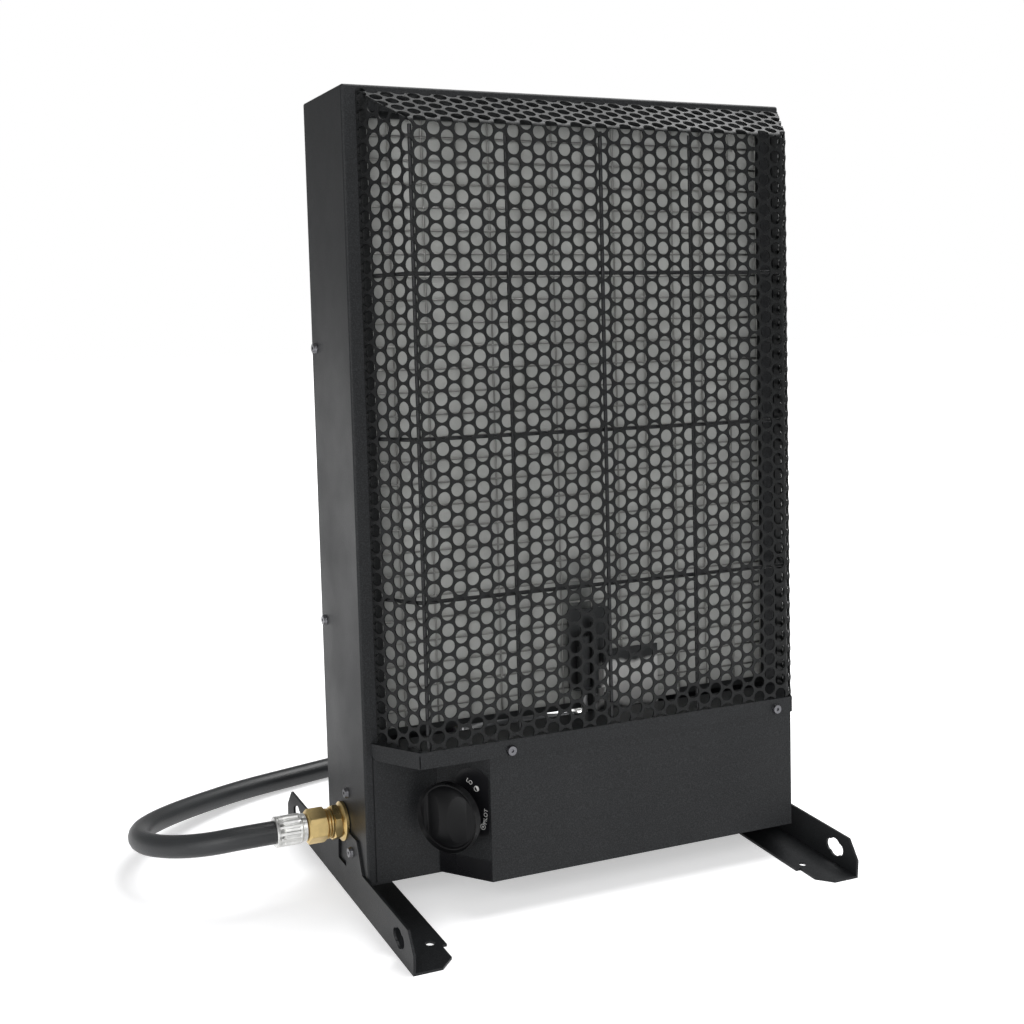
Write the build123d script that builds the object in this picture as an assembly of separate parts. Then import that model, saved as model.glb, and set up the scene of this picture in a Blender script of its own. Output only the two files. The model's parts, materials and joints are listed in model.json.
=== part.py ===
from build123d import *
import os
from math import atan, cos, hypot, pi, radians, sin, sqrt, tan

os.makedirs("parts", exist_ok=True)

# Portable propane heater, in millimetres.
#
# The row frame stands on the floor: X to the right as the user faces the heater, Y rearwards, Z up.
# The case frame leans back with the case. Its y is 0 at the guard's front face and grows rearwards,
# its z is 0 at the case's bottom edge, and its x is 0 on the case's centre plane.
# The valve frame has its origin where the knob's axis leaves the knob panel: x towards the front
# fold, y up, z out of the panel towards the user.

# ---------------------------------------------------------------- driving dimensions

# sheet and stance
sheet = 1.0
leg_sheet = 1.5
lean_angle = 4.5
case_row_y = -75.3  # the case frame's origin in the row frame
case_row_z = 21.6
fit_gap = 0.1  # between sheets that slide past each other when put together

# case
case_width = 300.0
case_depth = 71.0
case_height = 469.0
lip_width = 14.6
case_bend_radius = 1.6
back_flange = 14.0
pan_flange = 16.0
air_window_width = 120.0
air_window_low = 48.0
air_window_high = 80.0

# guard
guard_depth = 33.0
hole_radius = 3.97
hole_pitch = 9.525
left_fold_columns = 15  # hole columns from the case's centre plane to each fold
right_fold_columns = 16
side_slope_angle = 62.0
guard_bottom = 86.0
guard_base_top = 465.5
guard_fold_rows = 37  # hole rows from the lowest full one to the top fold
lowest_row_height = 93.5
guard_rim = 5.8
hole_land = 0.5
fold_edge_gap = 0.02
grid_wire_radius = 1.2
grid_pitch_x = 62.0
grid_edge_inset = 2.7  # from each fold to the nearest upright
grid_row_pitch = 94.0
grid_middle_height = 266.0
grid_low_gap = 1.5  # between the uprights' ends and the guard's edges
grid_high_gap = 3.0
grid_weld_sink = 0.3  # how far a cross wire sinks into an upright
grid_bend_radius = 4.0

# tray shelf and control cover
tray_lip = 9.7
tray_corner_slit = 0.6
tray_corner_cut = 5.0
tray_left_reach = 4.2  # how much nearer the centre plane the shelf's left corner is than its right one
cover_bottom = 1.5
knob_panel_angle = 56.7
cover_left_fold_x = -83.6
cover_right_fold_x = 131.2
cover_left_end_x = -144.6
cover_right_flange = 10.0
cover_screw_left_x = -69.9
cover_screw_right_x = 119.3

# dial label, in the valve frame
label_thickness = 0.25
label_corner_low = (17.6, -13.0)
label_corner_high = (17.6, 21.0)
label_crown = (7.0, 26.0)
label_shoulder = (-6.0, 18.0)
label_waist = (-12.0, 4.0)
label_belly = (-5.0, -12.0)
label_strip_half = 18.2
label_strip_low = -40.8
label_strip_high = -29.0

# burner, from front to back
tray_half_width = 142.8
burner_bottom = 86.0
burner_top = 456.0
burner_rim = 6.0
retainer_front = 43.4
retainer_thickness = 1.2
retainer_opening_half = 139.6
retainer_bar = 4.0
screen_thickness = 1.4
screen_pitch_x = 21.5
screen_pitch_z = 13.7
screen_wire = 1.4
catalyst_thickness = 14.0
insulation_thickness = 17.0
plenum_depth = 9.0
spreader_hole_radius = 2.5
spreader_pitch = 40.0
bracket_width = 22.0
bracket_offset = 100.0
bracket_foot = 8.0
bracket_end_gap = 10.0

# knob and stem, along the valve frame's z
knob_radius = 22.0
knob_back = 10.0
knob_rim_top = 16.5
knob_dome_top = 19.0
knob_ridge_top = 26.5
knob_ridge_width = 11.0
knob_wall = 2.0
knob_rim_rounding = 1.0
knob_ridge_rounding = 2.5
knob_ridge_inset = 1.5
knob_hub_radius = 8.0
knob_hub_bottom = 4.6
knob_travel = 3.5
knob_height = 43.0
stem_radius = 3.0
stem_top = 16.0
stem_groove_depth = 0.6
blade_length = 10.0
blade_width = 5.0
blade_thickness = 2.0
blade_end_gap = 1.0
running_gap = 0.05
collar_radius = 5.5
collar_length = 3.0
panel_hole_radius = 5.0
spring_radius = 4.4
spring_wire_radius = 0.4
spring_turns = 6

# valve
bonnet_radius = 11.0
bonnet_end = -20.0
bonnet_bore_end = -16.0
valve_end = -46.0
valve_half_width = 15.0
valve_half_height = 14.0
plug_radius = 7.0
plug_wall = 4.0
plug_end_wall = 2.0
boss_height = 4.0
main_boss_radius = 5.5
main_boss_at = -29.5
pilot_boss_radius = 3.5
pilot_boss_at = -39.5
inlet_boss_at = -33.0
inlet_boss_y = -5.0
magnet_radius = 6.0
magnet_length = 12.0
valve_bracket_sheet = 1.5
valve_bracket_half_width = 13.0
valve_bracket_left_width = 2.0  # left of the valve the foot keeps clear of the tubes
valve_bracket_inset = 2.0
valve_bracket_foot = 12.0
valve_screw_insets = (7.0, 8.0)  # from the front and the back of the valve

# gas inlet
inlet_y = 74.5
inlet_z = 28.0
wall_thread_radius = 6.9
inlet_flange_radius = 12.3
inlet_flange_length = 2.6
inlet_neck_length = 4.9
flare_thread_radius = 7.94
flare_thread_length = 7.0
flare_cone_length = 2.8
flare_thread_depth = 1.4
inlet_neck_relief = 1.0
gas_bore_radius = 2.5
lock_nut_flats = 19.0
lock_nut_length = 6.0
inner_end_length = 5.0
inner_end_radius = 6.0
inlet_bracket_sheet = 1.5
inlet_bracket_half_width = 15.0
inlet_bracket_low = 17.0
inlet_bracket_high = 55.0
bracket_screw_y = 67.4
bracket_screw_z = 47.5

# hose fittings
nut_across_flats = 19.05
nut_length = 15.7
nut_end_wall = 2.1
nut_thread_gap = 0.06
nut_thread_length = 9.4
nut_relief = 0.4  # the nut's bore is wider behind its thread
nut_rounding = 1.12  # the corners' circle over the width across flats
tail_radius = 5.5
tail_flange_radius = 7.2
tail_flange_length = 3.2
tail_inside_ferrule = 15.0
ferrule_radius = 9.3
ferrule_length = 19.3
ferrule_flutes = 10
ferrule_flute_radius = 1.5
ferrule_gap = 0.5
hose_radius = 7.0
hose_exit_run = 19.4

# hose coil behind the heater
coil_radius = 80.0
coil_x = 8.0
coil_y = 119.0
far_fitting_run = 107.0  # from the coil's rear to the far ferrule
far_fitting_height = 9.6
tail_level_run = 48.0  # how far the tail runs at the height over the coil
tail_landing_run = 83.0  # where the tail is down at the fitting's height
arc_share = 0.45  # of the shorter run beside it, that each of the hose's arcs takes up
coil_rounding = 6.3

# inner tubes and leads
orifice_thread_radius = 3.0
orifice_low = 76.0
orifice_body_radius = 6.0
orifice_neck_length = 5.0
orifice_jet_radius = 0.5
tube_end_run = 10.5  # straight tube at each fitting
tube_bend_radius = 8.0
pilot_tube_rise = 7.0
pilot_tube_bend_radius = 5.0
inlet_tube_run = 14.0
inlet_tube_side_run = 15.0
inlet_tube_bend_radius = 11.0
tube_radius = 4.0
pilot_tube_radius = 2.0
thermocouple_lead_radius = 1.2
electrode_wire_radius = 1.5
switch_lead_radius = 1.0

# pilot group
pilot_shelf_height = 100.0
pilot_sheet = 1.2
pilot_y = 37.5
pilot_pitch = 8.0
pilot_stub_length = 4.0
pilot_burner_radius = 4.0
pilot_burner_top = 134.0
probe_radius = 2.5
thermocouple_top = 142.0
electrode_insulator_top = 122.0
electrode_top = 133.0
electrode_tip_radius = 0.8
pilot_plate_x = (4.0, 57.0)
pilot_plate_z = (80.0, 122.0)
pilot_strip_right = 22.0
pilot_strip_top = 150.0
pilot_shelf_reach = 4.0
pilot_mouth_depth = 8.0
pilot_window = (12.0, 2.4, 5.0)
thermocouple_lead_run = 22.0
thermocouple_lead_y = 55.0
thermocouple_lead_steps = (5.0, 23.0)  # over the knob's axis
thermocouple_lead_bend = 7.0
electrode_wire_rise = 15.0
electrode_wire_left = (-60.0, 25.0)
electrode_wire_right_y = 27.0
electrode_wire_step = 10.0
electrode_wire_bend = 4.5

# tilt switch
tilt_switch_x = 53.0
tilt_switch_y = 70.0
tilt_switch_size = (26.0, 20.0, 22.0)
tilt_switch_corner = 2.0
switch_lead_left_x = -5.0
switch_lead_low = 12.0
switch_lead_bend = 8.0

# legs
leg_length = 238.0
leg_height = 23.0
leg_foot_width = 30.0
leg_foot_relief = 3.3
leg_foot_relief_length = 24.0
leg_foot_chamfer = 9.0
leg_end_chamfer_y = 9.0
leg_end_chamfer_z = 11.5
leg_tab_top = 41.0
leg_tab_width = 19.6
leg_tab_flare = 9.5
leg_tab_rounding = 3.0
leg_notch_half = 7.5
leg_notch_bottom = 17.0
leg_screw_height = 30.2
foot_hole_radius = 2.75
foot_hole_inset = 21.5
foot_hole_y = 90.2
hang_hole_y = 96.5
hang_hole_height = 12.0
hang_hole_radius = 6.0
hang_hole_side_radius = 4.0
hang_hole_side_offset = 4.6

# fasteners
screw_radius = 2.0
screw_head_radius = 3.4
screw_head_height = 2.0
screw_crown_radius = 2.72
screw_hole_gap = 0.15
side_screw_length = 5.0
leg_screw_length = 6.0
cover_screw_length = 6.0
cover_hole_reach = 3.0
side_screw_y = 97.7
side_screw_heights = (150.0, 319.5)

# ---------------------------------------------------------------- derived dimensions

half_case = case_width / 2
inner_half = half_case - sheet
lip_y = guard_depth
case_back_y = lip_y + case_depth
column_pitch = hole_pitch * sqrt(3) / 2
left_fold_x = -left_fold_columns * column_pitch
right_fold_x = right_fold_columns * column_pitch
slope_run = guard_depth / tan(radians(side_slope_angle))
left_base_x = left_fold_x - slope_run
right_base_x = right_fold_x + slope_run
guard_fold_top = lowest_row_height + guard_fold_rows * hole_pitch
top_slope_run = guard_base_top - guard_fold_top
tray_top = guard_bottom
tray_underside = tray_top - sheet
cover_screw_height = tray_top - 0.66 * tray_lip
screen_front = retainer_front + retainer_thickness
burner_front = screen_front + screen_thickness
catalyst_front = burner_front
insulation_front = catalyst_front + catalyst_thickness
spreader_front = insulation_front + insulation_thickness
burner_back = spreader_front + sheet + plenum_depth + sheet
knob_panel_depth = guard_depth - sheet
knob_panel_run = knob_panel_depth / tan(radians(knob_panel_angle))
groove_high = -sheet - fit_gap
groove_low = groove_high - collar_length - 2 * fit_gap
blade_start = bonnet_end - plug_wall
leg_outer_x = half_case + leg_sheet
inlet_flange_x = leg_outer_x + inlet_flange_length
inlet_neck_x = inlet_flange_x + inlet_neck_length
inlet_thread_x = inlet_neck_x + flare_thread_length
inlet_tip_x = inlet_thread_x + flare_cone_length
nut_end_x = inlet_neck_x + nut_length + fit_gap
tail_start_x = nut_end_x + ferrule_gap
hose_start_x = tail_start_x + ferrule_length

# The box of everything but the hose is centred on the origin.
centre_shift_x = (inlet_tip_x - leg_outer_x) / 2
case_place = Pos(centre_shift_x, case_row_y, case_row_z) * Rot(-lean_angle, 0, 0)
valve_place = Plane(
    origin=(
        cover_left_fold_x - knob_panel_run / 2,
        knob_panel_depth / 2,
        knob_height,
    ),
    x_dir=(cos(radians(knob_panel_angle)), -sin(radians(knob_panel_angle)), 0),
    z_dir=(-sin(radians(knob_panel_angle)), -cos(radians(knob_panel_angle)), 0),
)


# ---------------------------------------------------------------- helpers

def block(low, high):
    """A box from its lowest to its highest corner."""
    size = [high[i] - low[i] for i in range(3)]
    middle = [(high[i] + low[i]) / 2 for i in range(3)]
    return Pos(*middle) * Box(*size)


def rod(start, end, radius):
    """A round bar between two points."""
    start = Vector(*start)
    direction = Vector(*end) - start
    bar = Cylinder(radius, direction.length, align=(Align.CENTER, Align.CENTER, Align.MIN))
    return Plane(origin=start, z_dir=direction.normalized()) * bar


def cone(start, end, start_radius, end_radius):
    """A tapered round bar between two points."""
    start = Vector(*start)
    direction = Vector(*end) - start
    align = (Align.CENTER, Align.CENTER, Align.MIN)
    bar = Cone(start_radius, end_radius, direction.length, align=align)
    return Plane(origin=start, z_dir=direction.normalized()) * bar


def hexagon_bar(start, length, across_flats, turn=0.0):
    """A hexagonal bar along -X from a start point; turn 0 puts corners at its top and bottom."""
    outline = RegularPolygon(across_flats / 2, 6, major_radius=False, rotation=turn)
    return Plane(origin=start, x_dir=(0, 0, 1), z_dir=(-1, 0, 0)) * extrude(outline, length)


def prism(points, low, high):
    """An upright plate from an outline in plan."""
    outline = make_face(Polyline(*points, close=True))
    return Pos(0, 0, low) * extrude(outline, high - low)


def unit(start, end):
    """The direction from one plan point to another."""
    length = hypot(end[0] - start[0], end[1] - start[1])
    return ((end[0] - start[0]) / length, (end[1] - start[1]) / length)


def offset_path(points, distance):
    """The points moved to the left of their path by a distance, with mitred corners."""
    directions = [unit(a, b) for a, b in zip(points, points[1:])]
    arriving = [directions[0]] + directions
    leaving = directions + [directions[-1]]
    moved = []
    for (x, y), (ax, ay), (bx, by) in zip(points, arriving, leaving):
        stretch = distance / (1 + ax * bx + ay * by)
        moved.append((x - (ay + by) * stretch, y + (ax + bx) * stretch))
    return moved


def bent_sheet(points, low, high, thickness=sheet):
    """An upright bent sheet: its outer face follows the points, its metal lies to their left."""
    return prism(points + offset_path(points, thickness)[::-1], low, high)


def pipe(points, radius, bends):
    """A round tube along straight runs joined by tangent arcs."""
    path = FilletPolyline(*points, radius=bends)
    return sweep(Plane(origin=path @ 0, z_dir=path % 0) * Circle(radius), path=path)


def point_through(place, point):
    """Where a point of a moved frame lies in the frame that holds it."""
    return tuple((place * Pos(*point)).position)


def case_point(x, y, z):
    """A point of the case frame, in the row frame."""
    return point_through(case_place, (x, y, z))


def row_to_case(x, y, z):
    """A point of the row frame, in the case frame."""
    return point_through(case_place.inverse(), (x, y, z))


def valve_point(x, y, z):
    """A point of the valve frame, in the case frame."""
    return point_through(valve_place.location, (x, y, z))


def save(name, *solids):
    """Writes a node that stands in the row frame."""
    shape = solids[0] if len(solids) == 1 else Compound(children=list(solids))
    export_step(shape, f"parts/{name}.step")


def save_leaning(name, *solids):
    """Writes a node that was built in the case frame."""
    save(name, *[case_place * solid for solid in solids])


def in_valve(solid):
    """Takes a solid from the valve frame to the case frame."""
    return valve_place.location * solid


inlet_row = case_point(0, inlet_y, inlet_z)
orifice_at = (valve_point(0, 0, main_boss_at)[0], spreader_front + sheet + plenum_depth / 2)
leg_middle_y = inlet_row[1]
leg_screw_offset = leg_notch_half + leg_tab_width / 2
leg_screw_rows = [leg_middle_y - leg_screw_offset, leg_middle_y + leg_screw_offset]


# ---------------------------------------------------------------- fasteners

def pan_screw(seat, direction, length):
    """A pan-head screw: its head sits on the surface at seat, its shank follows direction."""
    seat = Vector(*seat)
    direction = Vector(*direction)
    top = seat - direction * screw_head_height
    head = cone(tuple(top), tuple(seat), screw_crown_radius, screw_head_radius)
    shank = rod(tuple(seat), tuple(seat + direction * length), screw_radius)
    recess = rod(tuple(top - direction), tuple(top + direction), screw_radius / 2)
    return head + shank - recess


def screw_hole(at, direction, reach=4.0):
    """The clearance hole for a screw, cut through the sheets on both sides of a point."""
    at = Vector(*at)
    along = Vector(*direction) * reach
    return rod(tuple(at - along), tuple(at + along), screw_radius + screw_hole_gap)


def leg_screw_point(side, row_y):
    """Where a leg screw crosses the case's side, in the case frame."""
    at = row_to_case(centre_shift_x, row_y, leg_screw_height)
    return (side * half_case, at[1], at[2])


def side_holes():
    """Every screw hole through the case's two sides."""
    holes = [screw_hole((-half_case, bracket_screw_y, bracket_screw_z), (1, 0, 0))]
    for side in (-1, 1):
        for height in side_screw_heights:
            holes.append(screw_hole((side * half_case, side_screw_y, height), (1, 0, 0)))
        for row_y in leg_screw_rows:
            holes.append(screw_hole(leg_screw_point(side, row_y), (1, 0, 0)))
    return holes


def make_screws():
    bracket_seat = (-half_case, bracket_screw_y, bracket_screw_z)
    side_screws = [pan_screw(bracket_seat, (1, 0, 0), side_screw_length)]
    leg_screws = []
    for side in (-1, 1):
        for height in side_screw_heights:
            seat = (side * half_case, side_screw_y, height)
            side_screws.append(pan_screw(seat, (-side, 0, 0), side_screw_length))
        for row_y in leg_screw_rows:
            seat = (centre_shift_x + side * leg_outer_x, row_y, leg_screw_height)
            leg_screws.append(pan_screw(seat, (-side, 0, 0), leg_screw_length))
    save_leaning("side_screws", *side_screws)
    save("leg_screws", *leg_screws)

    cover_screws = []
    for x in (cover_screw_left_x, cover_screw_right_x):
        seat = (x, -sheet, cover_screw_height)
        cover_screws.append(pan_screw(seat, (0, 1, 0), cover_screw_length))
    save_leaning("cover_screws", *cover_screws)


# ---------------------------------------------------------------- case

def make_case():
    shell = block((-half_case, lip_y, 0), (half_case, case_back_y, case_height))
    front_uprights = shell.edges().filter_by(Axis.Z).group_by(Axis.Y)[0]
    sides_top = shell.edges().group_by(Axis.Z)[-1]
    front_top = sides_top.filter_by(Axis.X).sort_by(Axis.Y)[0]
    side_tops = sides_top.filter_by(Axis.Y)
    shell = fillet([*front_uprights, front_top, *side_tops], case_bend_radius)
    shell -= block((-inner_half, lip_y + sheet, -1), (inner_half, case_back_y + 1, case_height - sheet))
    opening_half = half_case - lip_width
    shell -= block((-opening_half, lip_y - 1, -1), (opening_half, lip_y + 2, case_height - lip_width))
    shell -= rod((-half_case - 2, inlet_y, inlet_z), (-half_case + 2, inlet_y, inlet_z), wall_thread_radius)
    for hole in side_holes():
        shell -= hole
    save_leaning("case_shell", shell)

    half = inner_half - fit_gap
    top = case_height - sheet - fit_gap
    panel = block((-half, case_back_y - back_flange, 0), (half, case_back_y, top))
    panel -= block(
        (-half + sheet, case_back_y - back_flange - 1, -1),
        (half - sheet, case_back_y - sheet, top - sheet),
    )
    panel -= block(
        (-air_window_width / 2, case_back_y - 2, air_window_low),
        (air_window_width / 2, case_back_y + 1, air_window_high),
    )
    for hole in side_holes():
        panel -= hole
    save_leaning("back_panel", panel)

    pan_front = lip_y + sheet + fit_gap
    pan_back = case_back_y - back_flange - fit_gap
    pan = block((-half, pan_front, 0), (half, pan_back, pan_flange))
    pan -= block((-half + sheet, pan_front - 1, sheet), (half - sheet, pan_back + 1, pan_flange + 1))
    for hole in side_holes():
        pan -= hole
    save_leaning("bottom_pan", pan)


# ---------------------------------------------------------------- guard

def hole_centres(columns, reference, low, high):
    """Centres of staggered holes: each odd column stands half a pitch above the even ones."""
    centres = []
    for column in columns:
        height = reference + (column % 2) * hole_pitch / 2
        while height > low:
            height -= hole_pitch
        while height < high:
            centres.append((column, height))
            height += hole_pitch
    return centres


def perforated(plane, outline, centres):
    """A sheet behind the plane, with each hole that lies inside the outline with a land around it."""
    sides = list(zip(outline, outline[1:] + outline[:1]))
    holes = []
    for x, y in centres:
        room = min(
            ((bx - ax) * (y - ay) - (by - ay) * (x - ax)) / hypot(bx - ax, by - ay)
            for (ax, ay), (bx, by) in sides
        )
        if room > hole_radius + hole_land:
            holes.append(Wire.make_circle(hole_radius, Plane((x, y, 0))))
    border = Wire(Polyline(*outline, close=True).edges())
    return plane.location * extrude(Face(border, holes), -sheet)


def fold_setback(normal, other):
    """How far two sheets stop short of their common fold, so that only their inner edges meet."""
    turn = Vector(*normal).get_angle(Vector(*other))
    return sheet * tan(radians(turn / 2)) + fold_edge_gap


def inset(outline, setbacks):
    """An anticlockwise outline with each side moved inwards by its own setback."""
    lines = []
    for (ax, ay), (bx, by), back in zip(outline, outline[1:] + outline[:1], setbacks):
        dx, dy = unit((ax, ay), (bx, by))
        lines.append((ax - dy * back, ay + dx * back, dx, dy))
    corners = []
    for (ax, ay, adx, ady), (bx, by, bdx, bdy) in zip(lines[-1:] + lines[:-1], lines):
        along = ((bx - ax) * bdy - (by - ay) * bdx) / (adx * bdy - ady * bdx)
        corners.append((ax + adx * along, ay + ady * along))
    return corners


def make_guard():
    slope = radians(side_slope_angle)
    top_slope = atan(guard_depth / top_slope_run)
    top_slant = hypot(top_slope_run, guard_depth)
    side_slant = hypot(slope_run, guard_depth)
    front_normal = (0, -1, 0)
    side_normal = (sin(slope), -cos(slope), 0)
    top_normal = (0, -cos(top_slope), sin(top_slope))
    side_fold = fold_setback(front_normal, side_normal)
    top_fold = fold_setback(front_normal, top_normal)
    seam = fold_setback(side_normal, top_normal)

    outline = [
        (left_fold_x, guard_bottom),
        (right_fold_x, guard_bottom),
        (right_fold_x, guard_fold_top),
        (left_fold_x, guard_fold_top),
    ]
    columns = range(-left_fold_columns, right_fold_columns + 1)
    centres = hole_centres(columns, lowest_row_height, guard_bottom, guard_fold_top)
    centres = [(column * column_pitch, height) for column, height in centres]
    front_plane = Plane(origin=(0, 0, 0), x_dir=(1, 0, 0), z_dir=front_normal)
    front = perforated(front_plane, inset(outline, [0, side_fold, top_fold, side_fold]), centres)
    save_leaning("guard_front", front)

    side_end = sheet * cos(slope) / sin(slope)
    outline = [
        (0, guard_bottom),
        (side_slant, guard_bottom),
        (side_slant, guard_base_top),
        (0, guard_fold_top),
    ]
    outline = inset(outline, [0, side_end, seam, side_fold])

    def side_flap(fold_columns):
        """A side flap with its fold at x = 0, sloping back towards +X."""
        columns = range(fold_columns + 1, fold_columns + 5)
        centres = hole_centres(columns, lowest_row_height, guard_bottom, guard_base_top)
        centres = [((column - fold_columns) * column_pitch, height) for column, height in centres]
        plane = Plane(origin=(0, 0, 0), x_dir=(cos(slope), sin(slope), 0), z_dir=side_normal)
        return perforated(plane, outline, centres) + block(
            (slope_run - guard_rim, guard_depth - sheet, guard_bottom),
            (slope_run - sheet / tan(slope), guard_depth, guard_base_top - guard_rim),
        )

    save_leaning("guard_right", Pos(right_fold_x, 0, 0) * side_flap(right_fold_columns))
    save_leaning("guard_left", Pos(left_fold_x, 0, 0) * mirror(side_flap(left_fold_columns), Plane.YZ))

    top_end = sheet * cos(top_slope) / sin(top_slope)
    outline = [
        (left_fold_x, 0),
        (right_fold_x, 0),
        (right_base_x, top_slant),
        (left_base_x, top_slant),
    ]
    outline = inset(outline, [top_fold, seam, top_end, seam])
    columns = range(-left_fold_columns - 2, right_fold_columns + 3)
    centres = hole_centres(columns, 0, 0, top_slant)
    centres = [(column * column_pitch, height) for column, height in centres]
    top_plane = Plane(origin=(0, 0, guard_fold_top), x_dir=(1, 0, 0), z_dir=top_normal)
    top = perforated(top_plane, outline, centres)
    rim_inset = sheet / sin(slope) + sheet / tan(slope) + fit_gap
    top += block(
        (left_base_x + rim_inset, guard_depth - sheet, guard_base_top - guard_rim + fit_gap),
        (right_base_x - rim_inset, guard_depth, guard_base_top - sheet / tan(top_slope)),
    )
    save_leaning("guard_top", top)

    save_leaning("guard_wire_grid", make_wire_grid())


def make_wire_grid():
    """Five uprights just behind the guard, and three cross wires welded behind them."""
    upright_y = sheet + fit_gap + grid_wire_radius
    cross_y = upright_y + 2 * grid_wire_radius - grid_weld_sink
    low = guard_bottom + grid_low_gap
    high = guard_fold_top - grid_high_gap
    grid = None
    left_x = left_fold_x + grid_edge_inset
    right_x = right_fold_x - grid_edge_inset
    for x in (left_x, -grid_pitch_x, 0, grid_pitch_x, right_x):
        wire = rod((x, upright_y, low), (x, upright_y, high), grid_wire_radius)
        grid = wire if grid is None else grid + wire
    end_y = guard_depth - sheet - grid_wire_radius - 2 * grid_weld_sink
    end_run = (end_y - cross_y) / tan(radians(side_slope_angle))
    left_bend = left_x - grid_low_gap
    right_bend = right_x + grid_low_gap
    for row in (-1, 0, 1):
        height = grid_middle_height + row * grid_row_pitch
        corners = [
            (left_bend - end_run, end_y),
            (left_bend, cross_y),
            (right_bend, cross_y),
            (right_bend + end_run, end_y),
        ]
        grid += pipe([(x, y, height) for x, y in corners], grid_wire_radius, grid_bend_radius)
    return grid


# ---------------------------------------------------------------- tray shelf and control cover

def cover_right_x(y):
    """The cover's right slope at a depth behind the front face."""
    return cover_right_fold_x + y * slope_run / guard_depth


cover_outline = [
    (cover_left_end_x, knob_panel_depth),
    (cover_left_fold_x - knob_panel_run, knob_panel_depth),
    (cover_left_fold_x, 0),
    (cover_right_fold_x, 0),
    (cover_right_x(guard_depth), guard_depth),
    (cover_right_x(guard_depth) - cover_right_flange, guard_depth),
]


def make_tray_shelf():
    """A shelf with a lip that runs along its left, front and right edges."""
    wall = [(cover_right_fold_x, 0), (cover_right_x(guard_depth), guard_depth)]
    outer = offset_path(wall, -sheet - fit_gap)
    corner_x = outer[0][0] - (outer[0][1] + sheet) * slope_run / guard_depth
    rear_x = outer[1][0] + (guard_depth - outer[1][1]) * slope_run / guard_depth
    left_rear_x = tray_left_reach - rear_x
    left_corner_x = tray_left_reach - corner_x
    edge = [
        (left_rear_x, guard_depth),
        (left_corner_x, -sheet),
        (corner_x, -sheet),
        (rear_x, guard_depth),
    ]
    tray = prism(edge, tray_underside, tray_top)
    lip = bent_sheet(edge, tray_top - tray_lip, tray_underside)
    lip_end_low = tray_top - tray_lip
    for front_x, back_x in ((left_corner_x, left_rear_x), (corner_x, rear_x)):
        lip -= block(
            (front_x - tray_corner_slit / 2, -sheet - 1, lip_end_low - 1),
            (front_x + tray_corner_slit / 2, sheet * 2, tray_underside - sheet),
        )
        corner_cut = Box(2 * tray_corner_cut, tray_corner_cut, tray_corner_cut)
        lip -= Pos(back_x, guard_depth, lip_end_low) * Rot(45, 0, 0) * corner_cut
    behind = half_case + tray_corner_cut
    lip -= block((-behind, guard_depth, lip_end_low - 1), (behind, guard_depth + 2, tray_top))
    tray += lip
    for x in (cover_screw_left_x, cover_screw_right_x):
        tray -= screw_hole((x, 0, cover_screw_height), (0, 1, 0), cover_hole_reach)
    save_leaning("tray_shelf", tray)


def make_control_cover():
    cover = bent_sheet(cover_outline, cover_bottom, tray_underside - fit_gap)
    for x in (cover_screw_left_x, cover_screw_right_x):
        cover -= screw_hole((x, 0, cover_screw_height), (0, 1, 0), cover_hole_reach)
    cover -= in_valve(rod((0, 0, -3), (0, 0, 3), panel_hole_radius))
    save_leaning("control_cover", cover)


def make_dial_label():
    """The dial's own label, round at its top, and a strip along the panel's bottom edge."""
    outline = [
        Line(label_corner_low, label_corner_high),
        ThreePointArc(label_corner_high, label_crown, label_shoulder),
        Line(label_shoulder, label_waist),
        ThreePointArc(label_waist, label_belly, label_corner_low),
    ]
    dial = extrude(make_face(outline), label_thickness)
    dial -= rod((0, 0, -1), (0, 0, 1), panel_hole_radius + 1)
    strip = block(
        (-label_strip_half, label_strip_low, 0),
        (label_strip_half, label_strip_high, label_thickness),
    )
    save_leaning("dial_label", in_valve(dial), in_valve(strip))


# ---------------------------------------------------------------- knob, stem and valve

def make_knob():
    disc = revolve(
        make_face(
            [
                Line((0, knob_back), (knob_radius, knob_back)),
                Line((knob_radius, knob_back), (knob_radius, knob_rim_top - knob_rim_rounding)),
                ThreePointArc(
                    (knob_radius, knob_rim_top - knob_rim_rounding),
                    (knob_radius * 0.55, knob_dome_top - 0.8),
                    (0, knob_dome_top),
                ),
                Line((0, knob_dome_top), (0, knob_back)),
            ]
        ),
        Axis.Y,
    )
    knob = Rot(90, 0, 0) * disc
    half = knob_ridge_width / 2
    ridge = block((-half, -knob_radius, knob_rim_top - 2), (half, knob_radius, knob_ridge_top))
    ridge = fillet(ridge.edges().filter_by(Axis.Y).group_by(Axis.Z)[-1], knob_ridge_rounding)
    ridge &= rod((0, 0, 0), (0, 0, knob_ridge_top + 1), knob_radius - knob_ridge_inset)
    cavity = rod((0, 0, knob_back - 1), (0, 0, knob_rim_top - knob_wall), knob_radius - knob_wall)
    hub = rod((0, 0, knob_hub_bottom), (0, 0, knob_rim_top), knob_hub_radius)
    knob = knob + ridge - cavity + hub
    knob -= rod((0, 0, knob_hub_bottom - 1), (0, 0, stem_top), stem_radius)
    save_leaning("knob", in_valve(knob))

    stem = rod((0, 0, blade_start), (0, 0, stem_top), stem_radius)
    groove = rod((0, 0, groove_low), (0, 0, groove_high), stem_radius + 1)
    groove -= rod((0, 0, groove_low), (0, 0, groove_high), stem_radius - stem_groove_depth)
    blade = block(
        (-blade_width / 2, -blade_thickness / 2, blade_start - blade_length),
        (blade_width / 2, blade_thickness / 2, blade_start),
    )
    save_leaning("valve_stem", in_valve(stem - groove + blade))

    collar_inner = stem_radius - stem_groove_depth + running_gap
    collar = rod((0, 0, groove_low + fit_gap), (0, 0, groove_high - fit_gap), collar_radius)
    collar -= rod((0, 0, groove_low - 1), (0, 0, groove_high + 1), collar_inner)
    save_leaning("push_collar", in_valve(collar))


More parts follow.
